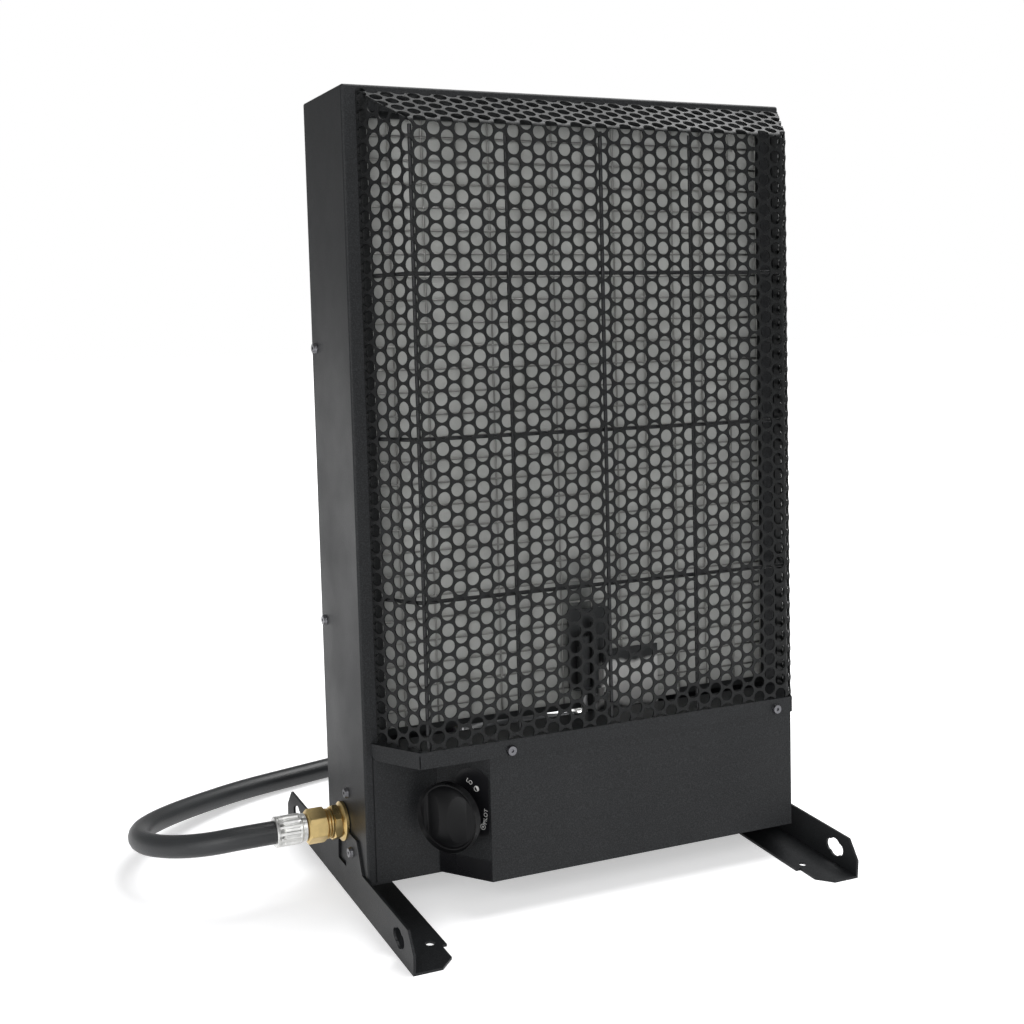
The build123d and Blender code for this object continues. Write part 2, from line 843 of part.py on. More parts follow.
def make_valve():
    bonnet = rod((0, 0, bonnet_end), (0, 0, -sheet), bonnet_radius)
    bonnet -= rod((0, 0, bonnet_bore_end), (0, 0, 0), collar_radius + running_gap)
    bonnet -= rod((0, 0, bonnet_end - 1), (0, 0, 0), stem_radius + running_gap)
    save_leaning("valve_bonnet", in_valve(bonnet))

    spring_low = bonnet_bore_end
    spring_high = groove_low - knob_travel - 2 * fit_gap
    coil_height = spring_high - spring_low - 2 * spring_wire_radius
    path = Helix(coil_height / spring_turns, coil_height, spring_radius)
    spring = sweep(Plane(origin=path @ 0, z_dir=path % 0) * Circle(spring_wire_radius), path=path)
    save_leaning("return_spring", in_valve(Pos(0, 0, spring_low + spring_wire_radius) * spring))

    body = block(
        (-valve_half_width, -valve_half_height, valve_end),
        (valve_half_width, valve_half_height, bonnet_end),
    )
    boss_top = valve_half_height + boss_height
    body += rod((0, 0, main_boss_at), (0, boss_top, main_boss_at), main_boss_radius)
    body += rod((0, 0, pilot_boss_at), (0, boss_top, pilot_boss_at), pilot_boss_radius)
    inlet_boss_end = -valve_half_width - boss_height
    inlet_start = (0, inlet_boss_y, inlet_boss_at)
    inlet_end = (inlet_boss_end, inlet_boss_y, inlet_boss_at)
    body += rod(inlet_start, inlet_end, main_boss_radius)
    plug_low = valve_end + plug_end_wall
    plug_high = bonnet_end - plug_wall
    body -= rod((0, 0, plug_low), (0, 0, plug_high), plug_radius + running_gap)
    body -= rod((0, 0, plug_high - 1), (0, 0, bonnet_end + 1), stem_radius + running_gap)
    body -= rod((0, 0, main_boss_at), (0, boss_top + 1, main_boss_at), gas_bore_radius)
    body -= rod((0, 0, pilot_boss_at), (0, boss_top + 1, pilot_boss_at), thermocouple_lead_radius)
    body -= rod(inlet_start, (inlet_boss_end - 1, inlet_boss_y, inlet_boss_at), gas_bore_radius)
    save_leaning("valve_body", in_valve(body))

    plug = rod((0, 0, plug_low + fit_gap), (0, 0, plug_high - fit_gap), plug_radius)
    slot_half = blade_thickness / 2 + fit_gap
    slot_end = blade_start - blade_length - knob_travel - blade_end_gap
    plug -= block((-plug_radius, -slot_half, slot_end), (plug_radius, slot_half, plug_high))
    stem_room = plug_high - knob_travel - 2 * fit_gap
    plug -= rod((0, 0, stem_room), (0, 0, plug_high), stem_radius + fit_gap)
    save_leaning("valve_plug", in_valve(plug))

    magnet = rod((0, 0, valve_end - magnet_length), (0, 0, valve_end), magnet_radius)
    save_leaning("magnet_unit", in_valve(magnet))
    make_valve_bracket()


def make_valve_bracket():
    """A sheet arm under the valve, on an upright and a foot that stands on the bottom pan."""
    arm_top = -valve_half_height
    arm_low = arm_top - valve_bracket_sheet
    pan_top = sheet - knob_height
    wide = valve_bracket_half_width
    narrow = valve_bracket_left_width
    upright_back = valve_end + valve_bracket_inset
    arm = block((-wide, arm_low, upright_back), (wide, arm_top, bonnet_end - valve_bracket_inset))
    upright = block((-wide, pan_top, upright_back), (narrow, arm_low, upright_back + valve_bracket_sheet))
    foot_back = upright_back - valve_bracket_foot
    foot = block((-wide, pan_top, foot_back), (narrow, pan_top + valve_bracket_sheet, upright_back))
    bracket = arm + upright + foot
    screws = []
    front_inset, back_inset = valve_screw_insets
    for z in (bonnet_end - front_inset, valve_end + back_inset):
        seat = (narrow * 3, arm_low, z)
        bracket -= screw_hole(seat, (0, 1, 0))
        screws.append(in_valve(pan_screw(seat, (0, 1, 0), valve_bracket_sheet)))
    save_leaning("valve_bracket", in_valve(bracket))
    save_leaning("valve_screws", *screws)


# ---------------------------------------------------------------- gas inlet and hose fittings

def make_inlet():
    axis = (inlet_y, inlet_z)
    inner_wall_x = inner_half - inlet_bracket_sheet
    nut_inner_x = inner_wall_x - lock_nut_length
    inner_end_x = nut_inner_x - inner_end_length
    fitting = rod((-leg_outer_x, *axis), (-nut_inner_x + 0.5, *axis), wall_thread_radius)
    fitting += rod((-nut_inner_x, *axis), (-inner_end_x, *axis), inner_end_radius)
    fitting += rod((-inlet_flange_x, *axis), (-leg_outer_x, *axis), inlet_flange_radius)
    neck_radius = flare_thread_radius - inlet_neck_relief
    fitting += rod((-inlet_neck_x, *axis), (-inlet_flange_x, *axis), neck_radius)
    fitting += rod((-inlet_thread_x, *axis), (-inlet_neck_x, *axis), flare_thread_radius)
    cone_radius = flare_thread_radius - flare_thread_depth
    tip_radius = cone_radius - flare_cone_length
    fitting += cone((-inlet_thread_x, *axis), (-inlet_tip_x, *axis), cone_radius, tip_radius)
    fitting -= rod((-inlet_tip_x - 1, *axis), (-inner_end_x + 1, *axis), gas_bore_radius)
    save_leaning("inlet_fitting", fitting)

    lock_nut = hexagon_bar((-nut_inner_x, *axis), lock_nut_length, lock_nut_flats)
    lock_nut -= rod((-inner_wall_x, *axis), (-nut_inner_x, *axis), wall_thread_radius)
    save_leaning("inlet_lock_nut", lock_nut)

    bracket = block(
        (-inner_half, inlet_y - inlet_bracket_half_width, inlet_bracket_low),
        (-inner_wall_x, case_back_y - back_flange - fit_gap, inlet_bracket_high),
    )
    bracket -= rod((-inner_half - 1, *axis), (-inner_wall_x + 1, *axis), wall_thread_radius)
    bracket -= screw_hole((-inner_half, bracket_screw_y, bracket_screw_z), (1, 0, 0))
    save_leaning("inlet_bracket", bracket)

    port_x = -valve_half_width - boss_height
    port = valve_point(port_x, inlet_boss_y, inlet_boss_at)
    approach = valve_point(port_x - inlet_tube_run, inlet_boss_y, inlet_boss_at)
    tube_points = [(-inner_end_x, *axis), (approach[0] - inlet_tube_side_run, *axis), approach, port]
    save_leaning("inlet_tube", pipe(tube_points, tube_radius, inlet_tube_bend_radius))

    near = Pos(*case_point(0, *axis))
    names = ("inlet_nut", "hose_tailpiece", "hose_ferrule")
    for name, solid in zip(names, hose_fitting(0)):
        save(name, near * solid)


def hose_fitting(nut_turn):
    """Swivel nut, tailpiece and crimped ferrule along -X, on the axis through the case's centre."""
    nut_start = inlet_neck_x + fit_gap
    bore = flare_thread_radius + nut_thread_gap
    nut = hexagon_bar((-nut_start, 0, 0), nut_length, nut_across_flats, nut_turn)
    nut &= rod((-nut_start, 0, 0), (-nut_end_x, 0, 0), nut_across_flats * nut_rounding / 2)
    thread_end = nut_start + nut_thread_length
    nut -= rod((-nut_start + 1, 0, 0), (-thread_end, 0, 0), bore)
    nut -= rod((-thread_end, 0, 0), (-nut_end_x + nut_end_wall, 0, 0), bore + nut_relief)
    nut -= rod((-nut_end_x - 1, 0, 0), (-nut_start, 0, 0), tail_radius + nut_thread_gap)

    tail_tip = inlet_tip_x
    tail_end = tail_start_x + tail_inside_ferrule
    tail = rod((-tail_tip, 0, 0), (-tail_tip - tail_flange_length, 0, 0), tail_flange_radius)
    tail += rod((-tail_tip - tail_flange_length, 0, 0), (-tail_end, 0, 0), tail_radius)
    tail -= rod((-tail_tip + 1, 0, 0), (-tail_end - 1, 0, 0), gas_bore_radius)

    ferrule = rod((-tail_start_x, 0, 0), (-hose_start_x, 0, 0), ferrule_radius)
    ferrule -= rod((-tail_start_x + 1, 0, 0), (-tail_end, 0, 0), tail_radius)
    for flute in range(ferrule_flutes):
        angle = 2 * pi * flute / ferrule_flutes
        y = (ferrule_radius + ferrule_flute_radius / 2) * cos(angle)
        z = (ferrule_radius + ferrule_flute_radius / 2) * sin(angle)
        low = (-tail_start_x - 3, y, z)
        high = (-hose_start_x + 3, y, z)
        ferrule -= rod(low, high, ferrule_flute_radius)
    return nut, tail, ferrule


# ---------------------------------------------------------------- hose

# The route from the end of the straight run out of the ferrule to the coil's rear, which it passes
# over; x is measured from the case's centre plane.
hose_points = [
    (-233.5, 8.5, 39.8),
    (-249.5, 22.5, 35.5),
    (-261.0, 42.0, 30.8),
    (-264.5, 66.0, 26.0),
    (-256.5, 93.0, 21.2),
    (-235.5, 119.0, 16.2),
    (-205.5, 143.5, 11.6),
    (-171.5, 163.0, 8.8),
    (-134.0, 175.5, 7.2),
    (-92.0, 184.5, 8.6),
    (-52.0, 192.5, 15.0),
    (-18.0, 197.5, 21.0),
]


def arc_radii(points):
    """The arc at each inner point, from its shorter run and the tangent of half its turn."""
    radii = []
    for before, point, after in zip(points, points[1:], points[2:]):
        arriving = Vector(*point) - Vector(*before)
        leaving = Vector(*after) - Vector(*point)
        shorter = min(arriving.length, leaving.length)
        radii.append(arc_share * shorter / tan(radians(arriving.get_angle(leaving) / 2)))
    return radii


def make_hose():
    shift = Vector(centre_shift_x, 0, 0)
    start = case_point(-hose_start_x, inlet_y, inlet_z)
    straight_end = (start[0] - hose_exit_run, start[1], start[2])
    route = [tuple(Vector(*point) + shift) for point in hose_points]
    coil_centre_x = coil_x + centre_shift_x
    rear_y = coil_y + coil_radius
    over_coil = 3 * hose_radius
    tail = [
        (coil_centre_x, rear_y, over_coil),
        (coil_centre_x + tail_level_run, rear_y, over_coil),
        (coil_centre_x + tail_landing_run, rear_y, far_fitting_height),
        (coil_centre_x + far_fitting_run, rear_y, far_fitting_height),
    ]
    points = [start, straight_end, *route, *tail]
    radii = arc_radii(points)
    tube = pipe(points, hose_radius, radii)
    save("hose", tube)

    tube_length = tube.volume / (pi * hose_radius**2)
    print("hose arc radii", [round(radius) for radius in radii])
    print("hose length in all", round(tube_length + 2 * pi * coil_radius))

    save("hose_coil", Pos(coil_centre_x, coil_y, 0) * coil_ring())

    far_end_x, far_end_y, far_end_z = tail[-1]
    fitting_place = Pos(far_end_x + hose_start_x, far_end_y, far_end_z)
    names = ("far_nut", "far_tailpiece", "far_ferrule")
    for name, solid in zip(names, hose_fitting(30)):
        save(name, fitting_place * solid)


def coil_ring():
    """The coil's outer shape, standing on z = 0."""
    across = 2 * hose_radius
    section = Pos(coil_radius, hose_radius) * RectangleRounded(across, across, coil_rounding)
    return revolve(Plane.XZ * section, Axis.Z, 360)


# ---------------------------------------------------------------- burner

def make_burner():
    half = tray_half_width
    rim_half = half + burner_rim
    low, high = burner_bottom, burner_top
    tray = block((-half, burner_front, low), (half, burner_back, high))
    tray -= block(
        (-half + sheet, burner_front - 1, low + sheet),
        (half - sheet, burner_back - sheet, high - sheet),
    )
    rim = block((-rim_half, burner_front, low), (rim_half, burner_front + sheet, high + burner_rim))
    rim -= block((-half, burner_front - 1, low), (half, burner_front + 2, high))
    tray += rim
    jet_x, jet_y = orifice_at
    tray -= rod((jet_x, jet_y, low - 1), (jet_x, jet_y, low + 2), orifice_thread_radius)
    save_leaning("burner_tray", tray)

    inside = half - sheet - fit_gap
    inner_low = low + sheet + fit_gap
    inner_high = high - sheet - fit_gap
    pads = (
        ("catalyst_pad", catalyst_front, catalyst_thickness),
        ("insulation_pad", insulation_front, insulation_thickness),
    )
    for name, front, thickness in pads:
        pad = block((-inside, front, inner_low), (inside, front + thickness, inner_high))
        save_leaning(name, pad)

    flange_back = burner_back - sheet
    spreader = block((-inside, spreader_front, inner_low), (inside, flange_back, inner_high))
    spreader -= block(
        (-inside + sheet, spreader_front + sheet, inner_low - 1),
        (inside - sheet, flange_back + 1, inner_high + 1),
    )
    middle = (low + high) / 2
    for column in range(-3, 4):
        for row in range(-4, 5):
            x = column * spreader_pitch
            z = middle + row * spreader_pitch
            spreader -= rod((x, spreader_front - 1, z), (x, spreader_front + 2, z), spreader_hole_radius)
    save_leaning("gas_spreader", spreader)

    opening = retainer_opening_half
    retainer = block((-rim_half, retainer_front, low), (rim_half, screen_front, high + burner_rim))
    retainer -= block(
        (-opening, retainer_front - 1, low + retainer_bar),
        (opening, screen_front + 1, high - retainer_bar),
    )
    save_leaning("pad_retainer", retainer)
    save_leaning("pad_screen", make_screen(rim_half - 0.5, low, high + burner_rim - 1))

    half_web = bracket_width / 2
    foot_y = case_back_y - 2 * sheet
    hat = [
        (-half_web - bracket_foot, foot_y),
        (-half_web, foot_y),
        (-half_web, burner_back),
        (half_web, burner_back),
        (half_web, foot_y),
        (half_web + bracket_foot, foot_y),
    ]
    channel = bent_sheet(hat, low + bracket_end_gap, high - bracket_end_gap)
    brackets = [Pos(side * bracket_offset, 0, 0) * channel for side in (-1, 1)]
    save_leaning("burner_brackets", *brackets)


def make_screen(half, low, high):
    """A light wire grid in front of the pad, with its edge wires all round."""
    columns = int(2 * half / screen_pitch_x)
    rows = int((high - low) / screen_pitch_z)
    pitch_x = (2 * half - screen_wire) / columns
    pitch_z = (high - low - screen_wire) / rows
    windows = []
    for column in range(columns):
        for row in range(rows):
            x = -half + screen_wire / 2 + (column + 0.5) * pitch_x
            z = low + screen_wire / 2 + (row + 0.5) * pitch_z
            opening = Rectangle(pitch_x - screen_wire, pitch_z - screen_wire)
            windows.append((Pos(x, z) * opening).wire())
    border = (Pos(0, (low + high) / 2) * Rectangle(2 * half, high - low)).wire()
    front = Plane(origin=(0, screen_front, 0), x_dir=(1, 0, 0), z_dir=(0, -1, 0))
    return front.location * extrude(Face(border, windows), -screen_thickness)


# ---------------------------------------------------------------- gas path inside

def make_gas_path():
    jet_x, jet_y = orifice_at
    neck_top = burner_bottom + orifice_neck_length
    hexagon = RegularPolygon(orifice_body_radius, 6)
    body = Pos(jet_x, jet_y, orifice_low) * extrude(hexagon, burner_bottom - orifice_low)
    neck = rod((jet_x, jet_y, burner_bottom), (jet_x, jet_y, neck_top), orifice_thread_radius)
    bore = rod((jet_x, jet_y, orifice_low - 1), (jet_x, jet_y, neck_top + 1), orifice_jet_radius)
    save_leaning("orifice_fitting", body + neck - bore)

    boss_top = valve_half_height + boss_height
    outlet = valve_point(0, boss_top, main_boss_at)
    tube_points = [
        outlet,
        (outlet[0], outlet[1], outlet[2] + tube_end_run),
        (jet_x, jet_y, orifice_low - tube_end_run),
        (jet_x, jet_y, orifice_low),
    ]
    save_leaning("burner_tube", pipe(tube_points, tube_radius, tube_bend_radius))

    stub_low = pilot_shelf_height - pilot_stub_length
    pilot_start = valve_point(0, boss_top, pilot_boss_at)
    crossing_z = pilot_start[2] + pilot_tube_rise
    pilot_points = [
        pilot_start,
        (pilot_start[0], pilot_start[1], crossing_z),
        (0, pilot_y, crossing_z),
        (0, pilot_y, stub_low),
    ]
    save_leaning("pilot_tube", pipe(pilot_points, pilot_tube_radius, pilot_tube_bend_radius))


# ---------------------------------------------------------------- pilot group

def make_pilot_group():
    shelf_top = pilot_shelf_height + pilot_sheet
    plate_front = retainer_front - pilot_sheet
    stub_low = pilot_shelf_height - pilot_stub_length
    (plate_left, plate_right), (plate_low, plate_high) = pilot_plate_x, pilot_plate_z
    bracket = block((plate_left, plate_front, plate_low), (plate_right, retainer_front, plate_high))
    strip_corner = (-pilot_pitch, plate_front, pilot_shelf_height)
    bracket += block(strip_corner, (pilot_strip_right, retainer_front, pilot_strip_top))
    shelf_corner = (-pilot_pitch, pilot_y - pilot_shelf_reach, pilot_shelf_height)
    bracket += block(shelf_corner, (pilot_strip_right, retainer_front, shelf_top))
    tops = (pilot_burner_top, thermocouple_top, electrode_insulator_top)
    radii = (pilot_burner_radius, probe_radius, probe_radius)
    for i, name in enumerate(("pilot_burner", "thermocouple", "igniter_electrode")):
        x = i * pilot_pitch
        body = rod((x, pilot_y, shelf_top), (x, pilot_y, tops[i]), radii[i])
        body += rod((x, pilot_y, stub_low), (x, pilot_y, shelf_top), pilot_tube_radius)
        bracket -= rod((x, pilot_y, stub_low), (x, pilot_y, shelf_top + 1), pilot_tube_radius)
        if name == "pilot_burner":
            mouth_low = tops[i] - pilot_mouth_depth
            body -= rod((x, pilot_y, mouth_low), (x, pilot_y, tops[i] + 1), radii[i] - 1)
            window_z = mouth_low + 1 + pilot_window[2] / 2
            body -= Pos(x, pilot_y, window_z) * Box(*pilot_window)
        if name == "igniter_electrode":
            body += rod((x, pilot_y, tops[i] - 1), (x, pilot_y, electrode_top), electrode_tip_radius)
        save_leaning(name, body)
    save_leaning("pilot_bracket", bracket)

    probe_x = pilot_pitch
    start = valve_point(0, 0, valve_end - magnet_length)
    bend = valve_point(0, 0, valve_end - magnet_length - thermocouple_lead_run)
    low_step, high_step = thermocouple_lead_steps
    lead_points = [
        start,
        bend,
        (probe_x, thermocouple_lead_y, knob_height + low_step),
        (probe_x, pilot_y, knob_height + high_step),
        (probe_x, pilot_y, stub_low),
    ]
    save_leaning("thermocouple_lead", pipe(lead_points, thermocouple_lead_radius, thermocouple_lead_bend))

    electrode_x = 2 * pilot_pitch
    start = valve_point(0, bonnet_radius, bonnet_end / 2)
    run_z = start[2] + electrode_wire_rise
    wire_points = [
        start,
        (start[0], start[1], run_z - 1),
        (*electrode_wire_left, run_z + 1),
        (electrode_x, electrode_wire_right_y, run_z),
        (electrode_x, pilot_y, run_z + electrode_wire_step),
        (electrode_x, pilot_y, stub_low),
    ]
    save_leaning("electrode_wire", pipe(wire_points, electrode_wire_radius, electrode_wire_bend))


def make_tilt_switch():
    width, depth, height = tilt_switch_size
    low = (tilt_switch_x - width / 2, tilt_switch_y - depth / 2, sheet)
    high = (tilt_switch_x + width / 2, tilt_switch_y + depth / 2, sheet + height)
    switch = block(low, high)
    save_leaning("tilt_switch", fillet(switch.edges().filter_by(Axis.Z), tilt_switch_corner))

    end = valve_point(0, -magnet_radius, valve_end - magnet_length / 2)
    lead_points = [
        (low[0], tilt_switch_y, sheet + height / 2),
        (switch_lead_left_x, tilt_switch_y, sheet + height / 2),
        (end[0], end[1], switch_lead_low),
        end,
    ]
    save_leaning("tilt_switch_lead", pipe(lead_points, switch_lead_radius, switch_lead_bend))


# ---------------------------------------------------------------- legs

def make_legs():
    half_length = leg_length / 2
    middle = leg_middle_y
    tab_inner = leg_notch_half
    tab_outer = leg_notch_half + leg_tab_width
    tab_base = tab_outer + leg_tab_flare
    upright = [
        (-half_length, 0),
        (half_length, 0),
        (half_length, leg_height - leg_end_chamfer_z),
        (half_length - leg_end_chamfer_y, leg_height),
        (middle + tab_base, leg_height),
        (middle + tab_outer, leg_tab_top),
        (middle + tab_inner, leg_tab_top),
        (middle + tab_inner, leg_notch_bottom),
        (middle - tab_inner, leg_notch_bottom),
        (middle - tab_inner, leg_tab_top),
        (middle - tab_outer, leg_tab_top),
        (middle - tab_base, leg_height),
        (-half_length + leg_end_chamfer_y, leg_height),
        (-half_length, leg_height - leg_end_chamfer_z),
    ]
    side_plane = Plane(origin=(-leg_outer_x, 0, 0), x_dir=(0, 1, 0), z_dir=(1, 0, 0))
    web = side_plane.location * extrude(make_face(Polyline(*upright, close=True)), leg_sheet)
    tab_corners = web.edges().filter_by(Axis.X).group_by(Axis.Z)[-1]
    web = fillet(tab_corners, leg_tab_rounding)

    relief_x = -leg_outer_x + leg_foot_width - leg_foot_relief
    inner_x = -leg_outer_x + leg_foot_width
    relief_y = half_length - leg_foot_relief_length
    foot = [
        (-leg_outer_x, -half_length),
        (relief_x - leg_foot_chamfer, -half_length),
        (relief_x, -half_length + leg_foot_chamfer),
        (relief_x, -relief_y),
        (inner_x, -relief_y),
        (inner_x, relief_y),
        (relief_x, relief_y),
        (relief_x, half_length - leg_foot_chamfer),
        (relief_x - leg_foot_chamfer, half_length),
        (-leg_outer_x, half_length),
    ]
    leg = web + prism(foot, 0, leg_sheet)
    for end in (-1, 1):
        hole_x = -leg_outer_x + foot_hole_inset
        hole_y = end * foot_hole_y
        leg -= rod((hole_x, hole_y, -1), (hole_x, hole_y, leg_sheet + 1), foot_hole_radius)
        hang_y = end * hang_hole_y
        for offset, radius in (
            (-hang_hole_side_offset, hang_hole_side_radius),
            (0, hang_hole_radius),
            (hang_hole_side_offset, hang_hole_side_radius),
        ):
            low = (-leg_outer_x - 1, hang_y + offset, hang_hole_height)
            high = (-half_case + 1, hang_y + offset, hang_hole_height)
            leg -= rod(low, high, radius)
    for row_y in leg_screw_rows:
        leg -= screw_hole((-half_case, row_y, leg_screw_height), (1, 0, 0))
    right_leg = mirror(leg, Plane.YZ)
    save("left_leg", Pos(centre_shift_x, 0, 0) * leg)
    save("right_leg", Pos(centre_shift_x, 0, 0) * right_leg)


# ---------------------------------------------------------------- the whole heater

make_case()
make_guard()
make_tray_shelf()
make_control_cover()
make_dial_label()
make_knob()
make_valve()
make_inlet()
make_hose()
make_burner()
make_gas_path()
make_pilot_group()
make_tilt_switch()
make_legs()
make_screws()
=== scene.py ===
"""Dresses the CAD frame of a portable propane heater: a Blender add-on that also runs as a script."""

import json
import math

import bmesh
import bpy
from mathutils import Matrix, Vector


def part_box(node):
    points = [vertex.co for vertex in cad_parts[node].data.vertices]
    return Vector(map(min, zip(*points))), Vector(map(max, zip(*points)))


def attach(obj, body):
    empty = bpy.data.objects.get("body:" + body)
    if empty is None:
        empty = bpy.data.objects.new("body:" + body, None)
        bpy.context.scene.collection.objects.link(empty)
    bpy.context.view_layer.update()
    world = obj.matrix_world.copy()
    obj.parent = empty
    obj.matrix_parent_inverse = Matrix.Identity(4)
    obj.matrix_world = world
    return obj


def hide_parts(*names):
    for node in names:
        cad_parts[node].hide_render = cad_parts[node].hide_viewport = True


bl_info = {
    "name": "Portable propane heater",
    "version": (1, 0, 0),
    "blender": (4, 5, 0),
    "location": "3D View > Sidebar > Heater",
    "description": "Builds the looks of a portable propane heater around its CAD frame",
    "category": "Add Mesh",
}

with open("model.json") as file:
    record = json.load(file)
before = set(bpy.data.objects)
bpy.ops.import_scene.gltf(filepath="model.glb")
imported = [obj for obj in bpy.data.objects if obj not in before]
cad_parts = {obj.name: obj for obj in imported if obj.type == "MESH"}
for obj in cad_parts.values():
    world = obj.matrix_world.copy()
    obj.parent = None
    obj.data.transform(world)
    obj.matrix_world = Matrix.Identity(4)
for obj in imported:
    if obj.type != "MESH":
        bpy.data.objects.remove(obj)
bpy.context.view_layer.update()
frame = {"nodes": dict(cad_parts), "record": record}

# ---------------------------------------------------------------- places in the CAD source, in metres

LEAN = math.radians(4.5)
CASE_TO_ROW = Matrix.Translation((0.00865, -0.0753, 0.0216)) @ Matrix.Rotation(-LEAN, 4, "X")

KNOB_PANEL_ANGLE = math.radians(56.7)
VALVE_AXES = Matrix((
    (math.cos(KNOB_PANEL_ANGLE), 0, -math.sin(KNOB_PANEL_ANGLE), 0),
    (-math.sin(KNOB_PANEL_ANGLE), 0, -math.cos(KNOB_PANEL_ANGLE), 0),
    (0, 1, 0, 0),
    (0, 0, 0, 1),
))
VALVE_TO_ROW = CASE_TO_ROW @ Matrix.Translation((-0.09411, 0.016, 0.043)) @ VALVE_AXES

# The guard's side folds, each with the direction in which its flap lies.
GUARD_FOLDS = {"left": (-1, -0.123734), "right": (1, 0.131982)}
GUARD_SLOPE_RUN = 0.017546
GUARD_BOTTOM = 0.086
GUARD_FOLD_TOP = 0.445925
GUARD_BASE_TOP = 0.4655
GUARD_DEPTH = 0.033
LOWEST_HOLE_ROW = 0.0935

PAD_HALF_WIDTH = 0.1412
PAD_LOW = 0.0875
PAD_HIGH = 0.4545
PAD_HEIGHT = PAD_HIGH - PAD_LOW
PAD_FRONT = 0.046
PAD_BACK = 0.060
SCREEN_MIDDLE = 0.0453

# Where the pad is darkened, the middle and the reach of each place: a soot stain round the pilot, and
# painted shade along the whole bottom edge.
PAD_SMOKE_AND_SHADE = (
    # A soot stain round the pilot.
    ((0.010, -0.020, 0.150), (0.016, 0.050, 0.050)),
    # Painted shade along the whole bottom edge of the pad.
    ((0.020, -0.020, 0.092), (0.400, 0.050, 0.016)),
)
# The pilot plate's part that has stayed bright, as (x, z) corners.
BRIGHT_PLATE = ((0.0130, 0.0960), (0.0900, 0.1400))

# The hose's route, as control points of one smooth curve.
HOSE_START = (-0.18595, 0.001167, 0.043669)
HOSE_RUN = [
    HOSE_START,
    (-0.20535, 0.001167, 0.043669),
    (-0.22485, 0.0085, 0.0398),
    (-0.24085, 0.0225, 0.0355),
    (-0.25235, 0.0420, 0.0308),
    (-0.25585, 0.0660, 0.0260),
    (-0.24785, 0.0930, 0.0212),
    (-0.22685, 0.1190, 0.0162),
    (-0.19685, 0.1435, 0.0116),
    (-0.16285, 0.1630, 0.0088),
    (-0.12535, 0.1755, 0.0073),
    (-0.08335, 0.1860, 0.0071),
    (-0.03335, 0.1955, 0.0070),
]
COIL_CENTRE = (0.01665, 0.119)
COIL_RADIUS = 0.080
COIL_STEP = 0.0148  # how much nearer the centre the hose lies after one turn
COIL_CLIMB_START = 0.8  # the share of the turn after which it climbs towards the crossing
COIL_RISE = 0.0075  # how far it climbs there
HOSE_TAIL = [
    (0.0420, 0.1850, 0.0205),
    (0.0680, 0.1885, 0.0232),
    (0.1000, 0.1978, 0.0096),
    (0.12365, 0.1990, 0.0096),
]


# ---------------------------------------------------------------- the view and the lamps, in metres

CAMERA_PLACE = (-0.41185, -0.8061, 0.3997)
CAMERA_RIGHT = (0.9072, -0.4207, 0.0066)
CAMERA_DOWN = (-0.0585, -0.1416, -0.9882)
CAMERA_AHEAD = (0.4167, 0.8961, -0.1531)
CAMERA_SHIFT = (0.01128, -0.0487)
CAMERA_NEAREST = 0.01
SENSOR_WIDTH_MM = 36.0

# Each lamp: where it hangs, the point that it shines on, and its width and height.
LAMPS = {
    "key": ((-1.7, -1.5, 0.95), (0, 0, 0.2), (1.4, 1.4)),
    "fill": ((0.1, -1.9, 1.2), (0, 0, 0.25), (1.2, 1.2)),
    "top": ((0.7, 0.1, 1.8), (0, 0, 0.2), (1.6, 1.2)),
}
FLOOR_SIZE = 8.0
# The floor's own glow to the eye, from near the heater to the far floor: distances and strengths.
GLOW_NEAR, GLOW_FAR = (0.45, 0.44), (1.6, 1.1)


# ---------------------------------------------------------------- values that a user would change

class StageSettings(bpy.types.PropertyGroup):
    floor_colour: bpy.props.FloatVectorProperty(
        name="Floor colour", description="Colour of the floor and backdrop",
        default=(0.86, 0.86, 0.87), subtype="COLOR", size=3, min=0, max=1)
    key_power: bpy.props.FloatProperty(
        name="Key power", description="Power of the large lamp at the front left",
        default=24.0, unit="POWER")
    fill_power: bpy.props.FloatProperty(
        name="Fill power", description="Power of the lamp at the front", default=9.0, unit="POWER")
    top_power: bpy.props.FloatProperty(
        name="Top power", description="Power of the lamp above the heater", default=38.0, unit="POWER")
    world_strength: bpy.props.FloatProperty(
        name="Surroundings", description="Strength of the even light from all round",
        default=0.28, min=0)
    lens: bpy.props.FloatProperty(
        name="Lens", description="Focal length of the camera", default=50.62, unit="CAMERA")


class HoseSettings(bpy.types.PropertyGroup):
    diameter: bpy.props.FloatProperty(
        name="Hose diameter", description="Outside diameter of the gas hose",
        default=0.014, unit="LENGTH")
    length: bpy.props.FloatProperty(
        name="Hose length", description="Length of hose between its two ferrules",
        default=1.0, unit="LENGTH")
    turn_points: bpy.props.IntProperty(
        name="Points a turn", description="Control points in one turn of the coil", default=16, min=12)
    colour: bpy.props.FloatVectorProperty(
        name="Rubber colour", description="Colour of the hose's rubber",
        default=(0.012, 0.013, 0.014), subtype="COLOR", size=3, min=0, max=1)


